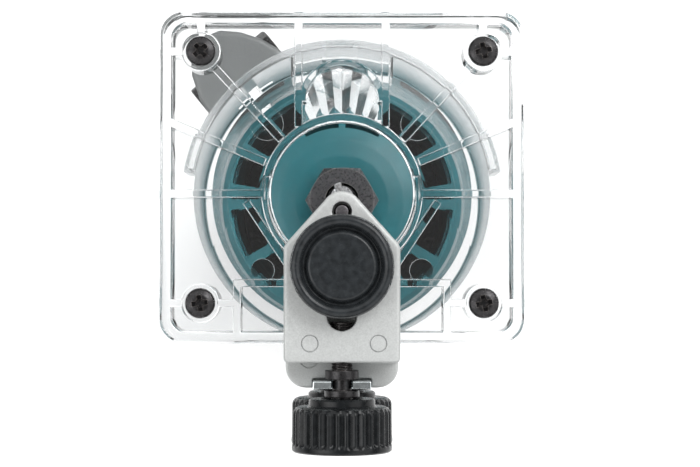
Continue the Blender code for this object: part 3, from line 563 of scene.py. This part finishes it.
def piece(name, mesh, body, nodes=(), slot=None, smooth=32, skin=None):
    """A visible piece that rides on a body and stands for CAD nodes."""
    slot = slot or SLOT_OF[nodes[0]]
    mesh.transform(Matrix.Scale(MM, 4))
    mesh.materials.clear()
    mesh.materials.append(skin or SKINS[slot])
    mesh.shade_smooth()
    mesh.set_sharp_from_angle(angle=math.radians(smooth))
    made = bpy.data.objects.new(name, mesh)
    bpy.context.scene.collection.objects.link(made)
    # flat faces keep their own normal beside a rounded edge, so that clear plastic doesn't bend what is seen
    normals = made.modifiers.new("normals", "WEIGHTED_NORMAL")
    normals.keep_sharp = True
    normals.weight = 100
    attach(made, body)
    if nodes:
        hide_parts(*nodes)
    return made


def paint_cad_nodes():
    for name, node in frame["nodes"].items():
        skin = SKINS[SLOT_OF[name]]
        node.data.materials.clear()
        node.data.materials.append(skin)


# ---------------------------------------------------------------- clear base

def base_outline(inset=0.0):
    radius = CORNER - inset * 0.8
    return rounded(LEFT + inset, RIGHT - inset, NEAR + inset, FAR - inset, radius)


def rib(start, end, thickness=2.0, bottom=FLANGE_BACK + 0.5, top=FLANGE_FRONT):
    """A straight rib with rounded edges between two points."""
    start, end = Vector(start), Vector(end)
    along = end - start
    reach, half = along.length / 2, thickness / 2
    shape = box((-reach, -half, bottom), (reach, half, top), 0.35)
    turn = Matrix.Rotation(math.atan2(along.y, along.x), 4, "Z")
    return moved(shape, Matrix.Translation((*(start + end) / 2, 0)) @ turn)


def rib_lines():
    """The right half's ribs. The left half mirrors them."""
    return (
        ((10.8, 43.0), (10.8, 16.5)),
        ((31.7, 31.5), (15.0, 13.3)),
        ((43.0, 17.9), (19.0, 7.8)),
        ((43.0, 0.0), (19.0, 0.0)),
        ((23.8, -1.9), (13.5, -17.4)),
        ((38.5, -27.1), (43.5, -27.1)),
        ((26.0, -27.1), (31.5, -27.1)),
        ((26.0, -21.2), (26.0, -35.0)),
        ((38.5, 35.3), (43.5, 35.3)),
        ((35.0, 38.5), (35.0, 43.5)),
    )


def at_lever(mesh):
    return spun(mesh, LEVER_BEARING)


def across_lever(mesh):
    """Lays a piece made along Z on the lever's bolt, +Z along the tangent."""
    turn = Matrix.Rotation(-math.pi / 2, 4, "X")
    return at_lever(moved(mesh, Matrix.Translation((LEVER_REACH, 0, LEVER_Z)) @ turn))


def clamp_ears():
    """Two lugs for the lever's bolt, on roots below it, so that the lever can close over them."""
    shapes = []
    for near, far in ((1.5, 6.0), (-6.0, -1.5)):
        shapes.append(across_lever(stub(5.4, near, far, 0.4)))
        root = box((CLAMP_INNER + 1.5, near, LEVER_Z - 9.5), (LEVER_REACH, far, LEVER_Z - 4), 0.4)
        shapes.append(at_lever(root))
    return shapes


ARCH = (0, 22.8)  # the centre of the half-round wall in front of the chip window
FAN = 9  # how many roofs fill it


def fan_of_prisms(bottom, top):
    """Long roofs that spread from the spindle's side and fill the arch down to the throat ring."""
    apex, start, reach = (0, 2.0), 13.0, 34.0
    first, spread, valley = 90 - 46, 92, 2.4
    work = bmesh.new()
    count = 2 * FAN
    spokes = [first + spread * i / count for i in range(count + 1)]
    levels = [top if i % 2 else top - valley for i in range(count + 1)]
    near = [polar(start, a, apex) for a in spokes]
    far = [polar(reach, a, apex) for a in spokes]
    roof_near = [work.verts.new((*p, z - 0.6)) for p, z in zip(near, levels)]
    roof_far = [work.verts.new((*p, z)) for p, z in zip(far, levels)]
    foot_near = [work.verts.new((*p, bottom)) for p in near]
    foot_far = [work.verts.new((*p, bottom)) for p in far]
    for i in range(count):
        work.faces.new((roof_near[i], roof_near[i + 1], roof_far[i + 1], roof_far[i]))
        work.faces.new((foot_near[i], foot_far[i], foot_far[i + 1], foot_near[i + 1]))
        work.faces.new((roof_near[i], foot_near[i], foot_near[i + 1], roof_near[i + 1]))
        work.faces.new((roof_far[i], roof_far[i + 1], foot_far[i + 1], foot_far[i]))
    work.faces.new((roof_near[0], roof_far[0], foot_far[0], foot_near[0]))
    work.faces.new((roof_near[-1], foot_near[-1], foot_far[-1], roof_far[-1]))
    bmesh.ops.recalc_face_normals(work, faces=work.faces)
    inside = [(9.9, 18.0), *arc(ARCH, 9.2, 0, 180, 32), (-9.9, 18.0)]
    room = combined(extruded([inside], bottom - 1, top + 1), [], [stub(18.9, bottom - 2, top + 2, 0, 160)])
    return common(mesh_of(work), room)


def base_body():
    back, front = FLANGE_BACK, FLANGE_FRONT
    throat = filleted([(20.0, front, 0.4), (20.0, back, 0.4),
                       (THROAT + 1.2, back, 0.4), (THROAT, front, 0.3)])
    skin = extruded([base_outline(), circle(THROAT + 1.3, 256)], back, back + SKIN_THICK, 0.4)
    adds = [
        extruded([base_outline(), base_outline(3.0)], back + 0.5, front, 0.8),
        turned(throat, 256),
        ring(CLAMP_INNER, CLAMP_OUTER, CLAMP_END, back + 1.2, 0.6, 384),
        rib((-27.0, -22.1), (27.0, -22.1)),
        box((-11, -38.0, SIDE_AXIS - 11), (11, -34.5, back + 1), 0.8),
        *clamp_ears(),
    ]
    cuts = []
    for start, end in rib_lines():
        for side in (1, -1):
            adds.append(rib((side * start[0], start[1]), (side * end[0], end[1])))
    for screw in SCREWS:
        x, y, _ = middle(screw)
        adds.append(shifted(stub(4.9, back + 0.5, front, 0.4), x, y))
        cuts.append(shifted(stub(2.2, back + 1.5, front + 1, 0), x, y))
    wall = arc(ARCH, 10.7, 0, 180, 32) + arc(ARCH, 8.9, 180, 0, 32)
    adds.append(extruded([wall], back + 0.5, front, 0.35))
    adds.append(fan_of_prisms(back + 1.0, back + SKIN_THICK + 4.0))
    for x in (-4.5, 3.3):
        adds.append(box((x - 0.6, 33.6, back + 1), (x + 0.6, 37.4, back + 7), 0.2))
    for x, y, radius in ((20.0, -19.0, 3.0), (-20.0, -19.0, 3.0), (19.0, 18.0, 4.2), (-19.0, 18.0, 4.2)):
        adds.append(shifted(stub(radius, back + 1, back + SKIN_THICK + 0.35, 0.1), x, y))
    for side in (1, -1):
        cuts.append(box((side * 18.75 - 0.7, -1.6, back + 4), (side * 18.75 + 0.7, 4.6, front + 1), 0.2))
    cuts += [
        box((-13, CLAMP_INNER - 12, 165), (13, 44, 183), 0.8),
        at_lever(box((CLAMP_INNER - 4, -1.5, CLAMP_END - 1), (LEVER_REACH + 10, 1.5, 158.5))),
        across_lever(stub(2.75, -20, 20, 0)),
        along_y(extruded([circle(5.6, 6)], -38.2, -34.2), 0, SIDE_AXIS),
        along_y(stub(3.2, -36, -28, 0), 0, SIDE_AXIS),
    ]
    piece("base", combined(skin, adds, cuts), "base", ["base_body"])


def sole_plate():
    plate = extruded([base_outline(), circle(THROAT, 256)], PLATE_BACK, SOLE, 0.7)
    cuts = []
    for screw in SCREWS:
        x, y, _ = middle(screw)
        cuts.append(shifted(stub(4.4, PLATE_BACK + 0.7, SOLE + 1, 0), x, y))
        cuts.append(shifted(stub(2.25, PLATE_BACK - 1, SOLE, 0), x, y))
    piece("sole", combined(plate, [], cuts), "base", ["sole_plate"])


def chip_deflector():
    bottom, top = low("chip_deflector").z, high("chip_deflector").z
    inner, outer = CLAMP_OUTER + 0.3, CLAMP_OUTER + 2.3
    body = extruded([sector(inner, outer, 10, 170, 180)], bottom, top, 0.5)
    adds = []
    for centre in (16, 164):
        for i in range(8):
            angle = centre - 6 + 12 * i / 7
            ridge = sector(outer - 0.6, outer + 2.1, angle - 0.55, angle + 0.55, 3)
            adds.append(extruded([ridge], bottom + 1.0, top - 4.3, 0.3))
        tab = sector(outer - 0.8, outer + 1.2, centre - 7, centre + 7)
        adds.append(extruded([tab], bottom + 0.3, top - 4.1, 0.3))
    piece("deflector", combined(body, adds), "base", ["chip_deflector"])


# ---------------------------------------------------------------- screws


def cross_recess(top, span=2.0, depth=1.5):
    """The four-way slot of a screw, tapering as it goes down, with a wider well in its middle."""
    cuts = []
    for turn in (0, 90, 45):
        well = turn == 45
        rings = []
        for level, reach, width in ((top + 0.5, span * 1.05, 0.72), (top - depth, span * 0.45, 0.42)):
            if well:
                reach = width = width * 1.75
            rings.append([(-reach, -width, level), (reach, -width, level),
                          (reach, width, level), (-reach, width, level)])
        cuts.append(spun(rings_mesh(rings), turn))
    return cuts


def pan_screw(name, node, body, turn, slot=None):
    """A pan head with a domed top, rounded rim and cross recess, on a plain shank."""
    bottom, top = low(node).z, high(node).z
    radius = (high(node).x - low(node).x) / 2
    x, y, _ = middle(node)
    profile = [(0, top, 0)]
    crown = top - 0.75
    profile += [(radius * 0.55, top - 0.12, 2.0), (radius * 0.93, crown, 0.5), (radius, top - 1.7, 0.15),
                (1.95, top - 1.72, 0), (1.95, bottom, 0.3), (0, bottom, 0)]
    body_mesh = turned(filleted(profile, closed=False), 64, closed=False)
    mesh = combined(body_mesh, [], cross_recess(top, radius * 0.62))
    piece(name, shifted(spun(mesh, turn), x, y), body, [node], slot)


def base_screws():
    for screw, turn in zip(SCREWS, (40, 12, 8, 12)):
        pan_screw("sole_" + screw.replace("base_", ""), screw, "base", turn)


# ---------------------------------------------------------------- motor unit

MOTOR_RADIUS = high("motor_housing").x
NOSE = high("motor_housing").z
SHOULDER = NOSE - 4.2
HOUSING_END = low("motor_housing").z


def nose_profile():
    return [
        (7.2, NOSE, 0.4), (12.5, NOSE, 6.0), (17.0, NOSE - 0.7, 8.0), (21.0, NOSE - 2.3, 1.5),
        (22.3, SHOULDER, 0.3), (31.0, SHOULDER, 0.8), (MOTOR_RADIUS, SHOULDER - 1.5, 0.8),
        (MOTOR_RADIUS, HOUSING_END, 0.5), (29.5, HOUSING_END, 0.3), (29.5, SHOULDER - 3.5, 0.3),
        (16.0, SHOULDER - 3.5, 0.3), (16.0, 140.2, 0.3),
        (13.0, 140.2, 0.2), (13.0, 148.5, 0.2), (7.2, 148.5, 0.2),
    ]


def motor_housing():
    shell = turned(filleted(nose_profile()), 128)
    cuts = []
    vents = [(a, 7.5) for a in (17, 39, 57, 123, 141, 163, 224, 250, 290, 316)] + [(197, 13), (343, 13)]
    for angle, half in vents:
        window = filleted([(*p, 0.6) for p in sector(23.2, 30.2, angle - half, angle + half, 2)])
        cuts.append(extruded([window], SHOULDER - 6, SHOULDER + 2))
    for start, end in ((61, 87.5), (92.5, 119)):
        cuts.append(extruded([sector(20.1, 21.7, start, end)], SHOULDER - 3.0, NOSE + 1))
    cuts.append(moved(stub(5.5, -40, 40, 0), Matrix.Translation((0, 0, middle("brush_cap_left").z))
                      @ Matrix.Rotation(math.pi / 2, 4, "Y")))
    piece("motor_barrel", combined(shell, [], cuts), "motor_unit", ["motor_housing"])


def head_cover():
    radius, top, wall = high("head_cover").x, high("head_cover").z, 3.5
    inner = radius - wall
    profile = [
        (0, wall, 0), (inner, wall, 0.8), (inner, top, 0.3), (radius - 0.3, top, 0.6),
        (radius, top - 2.0, 0.6),
        (radius, 20.6, 0.2), (radius - 0.7, 20.2, 0.2), (radius - 0.7, 19.4, 0.2), (radius, 19.0, 0.2),
        (radius, 4.5, 2.0), (radius - 1.4, 1.3, 1.5), (radius - 4.5, 0, 0.6), (0, 0, 0),
    ]
    cover = turned(filleted(profile, closed=False), 128, closed=False)
    adds, cuts = [], []
    for n in range(1, 5):
        x, y, _ = middle(f"head_screw_{n}")
        adds.append(shifted(stub(4.5, 1.5, top, 0.2), x, y))
        cuts.append(shifted(stub(4.0, -1, 4.2, 0), x, y))
        cuts.append(shifted(stub(2.3, 3, top + 1, 0), x, y))
    for side in (-1, 1):
        for i in range(7):
            angle = 90 + side * (38 + 9 * i)
            cuts.append(spun(box((inner - 4, -1.1, 8), (radius + 2, 1.1, 16), 0.6), angle))
    collar = filleted([(4.2, 27.5, 0.2), (7.0, 27.5, 0.2), (7.0, 38.0, 0.5), (6.0, 38.6, 0.4),
                       (6.0, 39.6, 0.4), (7.0, 40.2, 0.5), (7.0, 41.0, 0.4), (4.2, 41.0, 0.6)])
    adds.append(along_y(turned(collar, 64), 0, 14))
    cuts.append(along_y(stub(4.2, 25, 43, 0), 0, 14))
    x_out = radius + 2
    cuts.append(box((-x_out, -3.8, 8.5), (-inner + 4, 3.8, 21.5), 0.4))
    piece("head", combined(cover, adds, cuts), "motor_unit", ["head_cover"])


def head_screws():
    for n in range(1, 5):
        node = f"head_screw_{n}"
        x, y, _ = middle(node)
        bottom, top = low(node).z, high(node).z
        profile = [(0, bottom, 0), (2.6, bottom + 0.1, 1.0), (3.5, bottom + 0.7, 0.5),
                   (3.6, bottom + 2.9, 0.2), (2.0, bottom + 2.9, 0), (2.0, top, 0.4), (0, top, 0)]
        body = turned(filleted(profile, closed=False), 48, closed=False)
        cross = [moved(blade, Matrix.Diagonal((1, 1, -1, 1))) for blade in cross_recess(-bottom, 2.2)]
        for blade in cross:
            blade.flip_normals()
        piece(f"cover_screw_{n}", shifted(combined(body, [], cross), x, y), "motor_unit", [node])


def switch_slider():
    z = middle("switch_slider").z
    left = low("switch_slider").x
    body = box((-34.5, -3.4, z - 3), (-28.0, 3.4, z + 3), 0.3)
    button = box((left, -5.0, z - 4), (left + 2.2, 5.0, z + 4), 0.8)
    neck = box((left + 1.5, -3.0, z - 2.5), (-34.0, 3.0, z + 2.5), 0.2)
    tongue = box((-28.6, -1.2, z - 1.2), (-24.4, 1.2, z + 1.2), 0.2)
    grooves = [box((left - 1, -6, z - 2.7 + 1.8 * i), (left + 0.5, 6, z - 2.1 + 1.8 * i), 0.15)
               for i in range(4)]
    piece("switch_button", combined(body, [button, neck, tongue], grooves), "switch", ["switch_slider"])


def brush_caps():
    z = middle("brush_cap_left").z
    for name, side in (("left", -1), ("right", 1)):
        cap = stub(5.2, 0, 2.3, 0.4)
        slot = box((-3.8, -0.65, 1.5), (3.8, 0.65, 3.0), 0.1)
        mesh = combined(cap, [], [slot])
        turn = Matrix.Rotation(side * math.pi / 2, 4, "Y")
        mesh = moved(mesh, Matrix.Translation((side * 29.9, 0, z)) @ turn)
        piece(f"cap_{name}", mesh, "motor_unit", [f"brush_cap_{name}"])


# ---------------------------------------------------------------- collet and bit


def collet_nut():
    bottom, top = low("collet_nut").z, high("collet_nut").z
    corner = high("collet_nut").x
    body = extruded([circle(corner, 6)], bottom, top)
    chamfer = filleted([(0, top, 0), (8.5, top, 0.1), (corner + 0.25, top - 2.4, 0),
                        (corner + 0.25, bottom + 0.8, 0), (corner - 0.9, bottom, 0), (0, bottom, 0)],
                       closed=False)
    hexagon = common(body, turned(chamfer, 128, closed=False))
    bore = filleted([(0, top + 1, 0), (4.55, top + 1, 0), (4.4, top - 0.8, 0), (5.7, top - 2.4, 0),
                     (6.3, top - 2.4, 0), (6.3, bottom - 1, 0), (0, bottom - 1, 0)], closed=False)
    nut = combined(hexagon, [], [turned(bore, 96, closed=False)])
    # the nut's wider lighter edge band is partly wear and partly a painted highlight that traces its chamfer
    piece("nut", nut, "collet_nut", ["collet_nut"], skin=black_steel("nut_steel", 3.0, 0.35))


def collet_cone():
    bottom, top = low("collet_cone").z, high("collet_cone").z
    profile = filleted([(3.9, top, 0.2), (5.1, top - 2.0, 0.2), (5.1, top - 2.5, 0.2), (4.2, top - 2.9, 0.2),
                        (4.2, bottom, 0.2), (3.3, bottom, 0.1), (3.3, top, 0.1)])
    slots = [spun(box((-7, -0.35, bottom + 3), (7, 0.35, top + 5)), turn) for turn in (0, 90)]
    piece("collet", combined(turned(profile, 96), [], slots), "spindle", ["collet_cone"],
          skin=black_steel("collet_steel", 0.6))


def straight_bit():
    """A 6 mm straight bit with two ground flutes."""
    bottom, top = low("straight_bit").z, high("straight_bit").z
    profile = [(0, top, 0), (2.75, top, 0.1), (2.95, top - 0.4, 0.1), (2.95, 177.0, 0.3), (2.4, 176.0, 0.3),
               (2.4, 174.0, 0.3), (3.0, 173.2, 0.3), (3.0, bottom, 0.3), (0, bottom, 0)]
    body = turned(filleted(profile, closed=False), 96, closed=False)
    flutes = []
    for turn in (25, 205):
        flutes.append(spun(box((0.85, -5, 178.6), (5, 5, top + 2), 0.2), turn))
    piece("bit", combined(body, [], flutes), "spindle", ["straight_bit"])


# ---------------------------------------------------------------- clamp lever


def clamp_lever():
    """A cast hood over the lugs, with a finger tongue down the motor's side.

    Known fault: the hood comes out with some faces wound the wrong way, and none of the joins and
    cuts after it take hold, so only its block shows.
    """
    hub, half = 8.0, 13.0
    outline = filleted([(39.5, half, 0), (46.0, 12.5, 2), (52.6, 10.0, 3), (57.4, 5.8, 3),
                        (58.6, 0.5, 3), (57.4, -3.6, 3), (53.5, -7.7, 4), (48.4, -11.0, 4),
                        (43.0, -half, 1), (39.5, -half, 0)])
    hood = at_lever(extruded([outline], LEVER_Z - 5.9, LEVER_Z + 5.9, 1.2))
    hood = combined(hood, [], [at_lever(box((30, -20, LEVER_Z - 20), (LEVER_REACH, 20, LEVER_Z + 20)))])
    barrel = across_lever(stub(hub, -half, half, 0.8, 96))
    tongue = at_lever(extruded([rounded(53.3, 57.3, -6.4, 6.4, 1.6)], LEVER_Z - 33.8, LEVER_Z - 2, 0.8))
    room = across_lever(stub(6.0, -6.6, 6.6, 0))
    # the roots' side of the barrel stays open, as far as the lever swings
    open_side = extruded([[(0, 0)] + arc((0, 0), 12, 135, 275, 16)], -6.6, 6.6)
    lying = Matrix.Translation((LEVER_REACH, 0, LEVER_Z)) @ Matrix.Rotation(math.pi / 2, 4, "X")
    bolt = across_lever(stub(2.7, -20, 20, 0))
    pockets = [across_lever(stub(5.2, near, far, 0, 64)) for near, far in ((9.9, 20), (-20, -9.9))]
    body = combined(hood, [barrel, tongue], [room, at_lever(moved(open_side, lying)), bolt, *pockets])
    piece("lever", softened(body, 0.3, 4), "clamp_lever", ["clamp_lever"], smooth=60)


def clamp_fasteners():
    shank = stub(2.4, -12.9, 10.6, 0.3)
    head = stub(4.2, 10.2, 12.9, 0.6)
    socket = extruded([circle(2.0, 6)], 11.4, 14.0)
    piece("bolt", across_lever(combined(shank, [head], [socket])), "base", ["clamp_bolt"])
    nut = extruded([circle(4.6, 6), circle(2.7, 48)], -13.0, -10.2)
    cone = turned([(0, -13.5), (3.6, -13.5), (5.6, -11.5), (5.6, -9), (0, -9)], 64, closed=False)
    piece("bolt_nut", across_lever(common(nut, cone)), "base", ["clamp_nut"])


# ---------------------------------------------------------------- roller guide

HALF = high("guide_arm").x
ARM_BACK, ARM_FRONT = low("guide_arm").z, high("guide_arm").z
ARM_END = low("guide_arm").y
HOLDER_BACK, HOLDER_FRONT = SOLE + 0.3, high("guide_holder").z
HOLDER_END, HOLDER_NEAR = low("guide_holder").y, high("guide_holder").y
ROLLER = middle("guide_roller")
STUD = middle("arm_clamp_stud")
SCREW_AXIS = middle("adjusting_screw").z


def guide_arm():
    half, shoulder = HALF, -12.6
    tip = arc((0, ROLLER.y), 4.95, 145, 35, 20)
    right = [(half - 0.6, shoulder), (half, shoulder - 1.0)]
    corner = arc((half - 1.2, ARM_END + 1.2), 1.2, 0, -90, 5)
    left = [(-x, y) for x, y in reversed(right + corner)]
    body = extruded([tip + right + corner + left], ARM_BACK, ARM_FRONT, 0.8)
    slot = rounded(-3.65, 3.65, -33.6, -12.8, 3.64)
    cuts = [
        extruded([slot], ARM_BACK - 3, ARM_FRONT + 3),
        along_y(stub(2.9, -45, -28, 0), 0, SCREW_AXIS),
        shifted(stub(1.9, 195, 215, 0), 0, ROLLER.y),
        shifted(stub(2.35, ARM_FRONT - 3.2, ARM_FRONT + 3, 0), 0, ROLLER.y),
    ]
    arm = softened(combined(body, [], cuts), 0.26, 3)
    marks = []
    for x in (-7.7, 8.7):
        mark = turned([(1.75, ARM_FRONT + 0.3), (2.2, ARM_FRONT + 0.3),
                       (2.05, ARM_FRONT - 0.3), (1.9, ARM_FRONT - 0.3)], 48)
        marks.append(shifted(mark, x, -36.6))
    arm = combined(arm, [], marks)
    piece("arm", arm, "guide_arm", ["guide_arm"], smooth=60)


def guide_holder():
    outline = rounded(-HALF + 0.3, HALF - 0.3, HOLDER_END, HOLDER_NEAR, 5.0)
    plate = extruded([outline], HOLDER_BACK, HOLDER_FRONT)
    leg = box((-HALF + 0.6, -42.3, low("guide_holder").z), (HALF - 0.6, -38.3, HOLDER_FRONT - 1))
    cuts = [
        shifted(stub(3.2, 190, 210, 0), 0, STUD.y),
        along_y(stub(3.2, -50, -30, 0), 0, SIDE_AXIS),
        box((-7.25, -47.85, HOLDER_FRONT - 1.5), (7.25, -45.35, HOLDER_FRONT + 1)),
    ]
    mark = turned([(1.95, HOLDER_FRONT + 0.3), (2.45, HOLDER_FRONT + 0.3),
                   (2.3, HOLDER_FRONT - 0.3), (2.1, HOLDER_FRONT - 0.3)], 48)
    mesh = combined(softened(combined(plate, [leg], cuts), 0.28, 3), [], [shifted(mark, -8.0, -40.5)])
    piece("holder", mesh, "base", ["guide_holder"], smooth=60)


def screw_retainer():
    back, front = low("screw_retainer").z, high("screw_retainer").z
    plate = box((-7, -47.6, back), (7, -45.6, front), 0.3)
    cuts = [box((-2.6, -50, SCREW_AXIS), (2.6, -40, front + 3)),
            along_y(stub(2.6, -50, -40, 0), 0, SCREW_AXIS)]
    piece("retainer", combined(plate, [], cuts), "base", ["screw_retainer"])


def roller():
    bottom, top = low("guide_roller").z, high("guide_roller").z
    profile = filleted([(1.9, top, 0.15), (4.0, top, 0.2), (4.75, top - 0.4, 0.3), (4.75, bottom + 0.4, 0.3),
                        (4.0, bottom, 0.2), (1.9, bottom, 0.15)])
    piece("roller", shifted(turned(profile, 96), 0, ROLLER.y), "guide_roller", ["guide_roller"])
    back, front = low("roller_pin").z, high("roller_pin").z
    profile = filleted([(0, front, 0), (1.6, front, 0.35), (1.6, back + 0.5, 0), (2.6, back + 0.5, 0.1),
                        (2.6, back, 0.15), (0, back, 0)], closed=False)
    piece("pin", shifted(turned(profile, 64, closed=False), 0, ROLLER.y), "guide_arm", ["roller_pin"],
          skin=black_steel("pin_steel", 5.0))


def arm_clamp():
    bottom, top = low("arm_clamp_knob").z, high("arm_clamp_knob").z
    radius = (high("arm_clamp_knob").x - low("arm_clamp_knob").x) / 2
    profile = [
        (0, top - 1.3, 0), (5.6, top - 1.5, 2.0), (8.1, top - 1.1, 1.2), (8.8, top - 2.8, 0.4),
        (9.4, top - 2.8, 0.4), (9.9, top - 0.5, 1.0), (11.0, top, 1.0), (radius - 0.4, top - 0.5, 0.8),
        (radius, top - 1.9, 0.8), (radius - 0.3, bottom + 0.8, 0.8), (radius - 2.0, bottom, 0.5),
        (3.2, bottom, 0.2), (3.2, bottom + 1.8, 0), (0, bottom + 1.8, 0),
    ]
    disc = turned(filleted(profile, closed=False, steps=8), 160, closed=False)
    # the disc knob's black plastic is mottled 2.2 times lighter than the other black parts: painted light for
    # the light its upward dish catches
    piece("disc_knob", shifted(disc, 0, STUD.y), "arm_clamp_knob", ["arm_clamp_knob"],
          skin=black_plastic("disc_plastic", 2.2))
    washer = ring(3.2, 7.0, low("arm_clamp_washer").z, high("arm_clamp_washer").z, 0.15)
    piece("disc_washer", shifted(washer, 0, STUD.y), "arm_clamp_washer", ["arm_clamp_washer"])


def threaded(radius, pitch, start, end, depth=0.35, per_turn=32):
    """A screw thread along Z, as one wound surface with flat ends."""
    turns = (end - start) / pitch
    rings = []
    levels = int(turns * 6)
    for j in range(levels + 1):
        height = start + (end - start) * j / levels
        ring_points = []
        for i in range(per_turn):
            phase = (height / pitch - i / per_turn) % 1.0
            wave = abs(2 * phase - 1)
            ring_points.append((*polar(radius - depth * wave, 360 * i / per_turn), height))
        rings.append(ring_points)
    return rings_mesh(rings)


def knob_mesh(radius, start, end, flange, collar_start, hub, flutes=34):
    """A moulded knob along Z: flutes round its side, a smooth band at its far end and a dished face."""
    per_flute = 8
    count = flutes * per_flute
    sections = [(hub, start - 6.5, 0), (hub, collar_start, 0), (flange - 0.4, collar_start, 0),
                (flange, collar_start - 0.4, 0), (flange, start + 0.3, 0), (flange + 0.4, start, 0),
                (radius - 1.7, start, 0), (radius - 0.9, start - 0.35, 0), (radius - 0.4, start - 1.0, 0.35),
                (radius - 0.25, start - 1.7, 0.75), (radius - 0.2, end + 2.4, 0.75),
                (radius - 0.15, end + 1.75, 0.3), (radius - 0.05, end + 1.45, 0), (radius, end + 0.9, 0),
                (radius - 0.1, end + 0.35, 0), (radius - 0.5, end, 0), (radius - 2.2, end, 0),
                (radius - 2.9, end + 0.5, 0), (radius - 5, end + 0.7, 0)]
    rings = []
    for size, height, depth in sections:
        points = []
        for i in range(count):
            wave = 0.5 - 0.5 * math.cos(2 * math.pi * i / per_flute)
            points.append((*polar(size - depth * wave ** 1.5, 360 * i / count), height))
        rings.append(points)
    return rings_mesh(rings)


def adjusting_screw():
    axis = SCREW_AXIS
    shaft = [(4.1, -43.1, 0.25), (4.1, -45.3, 0.25), (2.3, -45.3, 0.1), (2.3, -47.9, 0.1), (4.2, -47.9, 0.25),
             (4.2, -49.6, 0.25), (2.6, -49.6, 0), (2.6, -57.8, 0.2)]
    solid = turned(filleted([(0, -43.1, 0), *shaft, (0, -57.8, 0)], closed=False), 64, closed=False)
    mesh = combined(solid, [threaded(2.62, 0.8, -43.4, high("adjusting_screw").y)])
    piece("adjuster_screw", along_y(mesh, 0, axis), "adjusting_screw", ["adjusting_screw"])
    node = "adjusting_knob"
    radius = (high(node).x - low(node).x) / 2
    mesh = knob_mesh(radius, -51.8, low(node).y, 8.0, high(node).y, 2.9)
    piece("adjuster_knob", along_y(mesh, 0, axis), "adjusting_screw", [node])


def side_clamp():
    axis = SIDE_AXIS
    mesh = combined(stub(2.6, -57.0, -34.0, 0.3), [threaded(2.9, 1.0, -56.5, -34.6)])
    piece("side_stud", along_y(mesh, 0, axis), "side_clamp_knob", ["side_clamp_stud"])
    washer = ring(3.2, 7.0, -43.6, -42.6, 0.2)
    piece("side_washer", along_y(washer, 0, axis), "side_clamp_washer", ["side_clamp_washer"])
    node = "side_clamp_knob"
    radius = (high(node).x - low(node).x) / 2
    mesh = knob_mesh(radius, -51.3, low(node).y, 8.6, -49.8, 3.2)
    collar = ring(3.2, 5.5, -50.2, -43.9, 0.3)
    piece("side_knob", along_y(combined(mesh, [collar]), 0, axis), "side_clamp_knob", [node])


# ---------------------------------------------------------------- stage


def floor():
    work = bmesh.new()
    bmesh.ops.create_grid(work, x_segments=1, y_segments=1, size=6)
    mesh = bpy.data.meshes.new("floor")
    work.to_mesh(mesh)
    work.free()
    look = Look("floor", (0.86, 0.86, 0.86), 0.7)
    look.mottled((0.85, 0.85, 0.85), (0.88, 0.88, 0.88), 120)
    mesh.materials.append(look.material)
    made = bpy.data.objects.new("floor", mesh)
    bpy.context.scene.collection.objects.link(made)
    made.location.z = -0.0002


def world():
    """A white studio: dark where the camera stands overhead, bright all round it, dark at the horizon."""
    made = bpy.data.worlds.new("studio")
    bpy.context.scene.world = made
    made.use_nodes = True
    tree = made.node_tree
    coords = tree.nodes.new("ShaderNodeTexCoord")
    split = tree.nodes.new("ShaderNodeSeparateXYZ")
    ramp = tree.nodes.new("ShaderNodeValToRGB")
    stops = ((0.0, 0.05), (0.2, 0.07), (0.42, 0.95), (0.83, 0.95), (0.93, 0.15), (1.0, 0.1))
    elements = ramp.color_ramp.elements
    while len(elements) < len(stops):
        elements.new(0.5)
    for element, (height, tone) in zip(elements, stops):
        element.position = height
        element.color = (tone, tone, tone, 1)
    tree.links.new(coords.outputs["Generated"], split.inputs["Vector"])
    tree.links.new(split.outputs["Z"], ramp.inputs["Fac"])
    background = tree.nodes["Background"]
    tree.links.new(ramp.outputs["Color"], background.inputs["Color"])
    background.inputs["Strength"].default_value = 1.85


def softbox(name, place, target, size, power):
    data = bpy.data.lights.new(name, "AREA")
    data.shape = "RECTANGLE"
    data.size, data.size_y = size
    data.energy = power
    lamp = bpy.data.objects.new(name, data)
    lamp.location = place
    lamp.rotation_euler = (Vector(target) - Vector(place)).to_track_quat("-Z", "Y").to_euler()
    lamp.visible_camera = False
    bpy.context.scene.collection.objects.link(lamp)


def camera():
    """Almost straight down on the sole, from 420 mm away, a little towards the guide's side."""
    distance = 0.42
    data = bpy.data.cameras.new("camera")
    data.sensor_width = 36.0
    data.lens = 87.9
    data.clip_start = 0.01
    made = bpy.data.objects.new("camera", data)
    bpy.context.scene.collection.objects.link(made)
    made.location = (0, -0.0231, SOLE * MM + distance)
    forward = Vector((0.00468, 0.0313, -1)).normalized()
    right = forward.cross(Vector((0, 1, 0))).normalized()
    upward = right.cross(forward)
    made.rotation_euler = Matrix((right, upward, -forward)).transposed().to_euler()
    bpy.context.scene.camera = made


paint_cad_nodes()
base_body()
sole_plate()
chip_deflector()
base_screws()
motor_housing()
head_cover()
head_screws()
switch_slider()
brush_caps()
collet_nut()
collet_cone()
straight_bit()
clamp_lever()
clamp_fasteners()
guide_arm()
guide_holder()
screw_retainer()
roller()
arm_clamp()
adjusting_screw()
side_clamp()
floor()
world()
softbox("key", (0.42, 0.42, 0.85), (0, 0, 0.18), (0.45, 0.45), 5.0)
softbox("fill", (-0.55, -0.1, 0.85), (0, 0, 0.18), (0.4, 0.6), 1.6)
camera()
bpy.context.scene.view_settings.view_transform = "Standard"
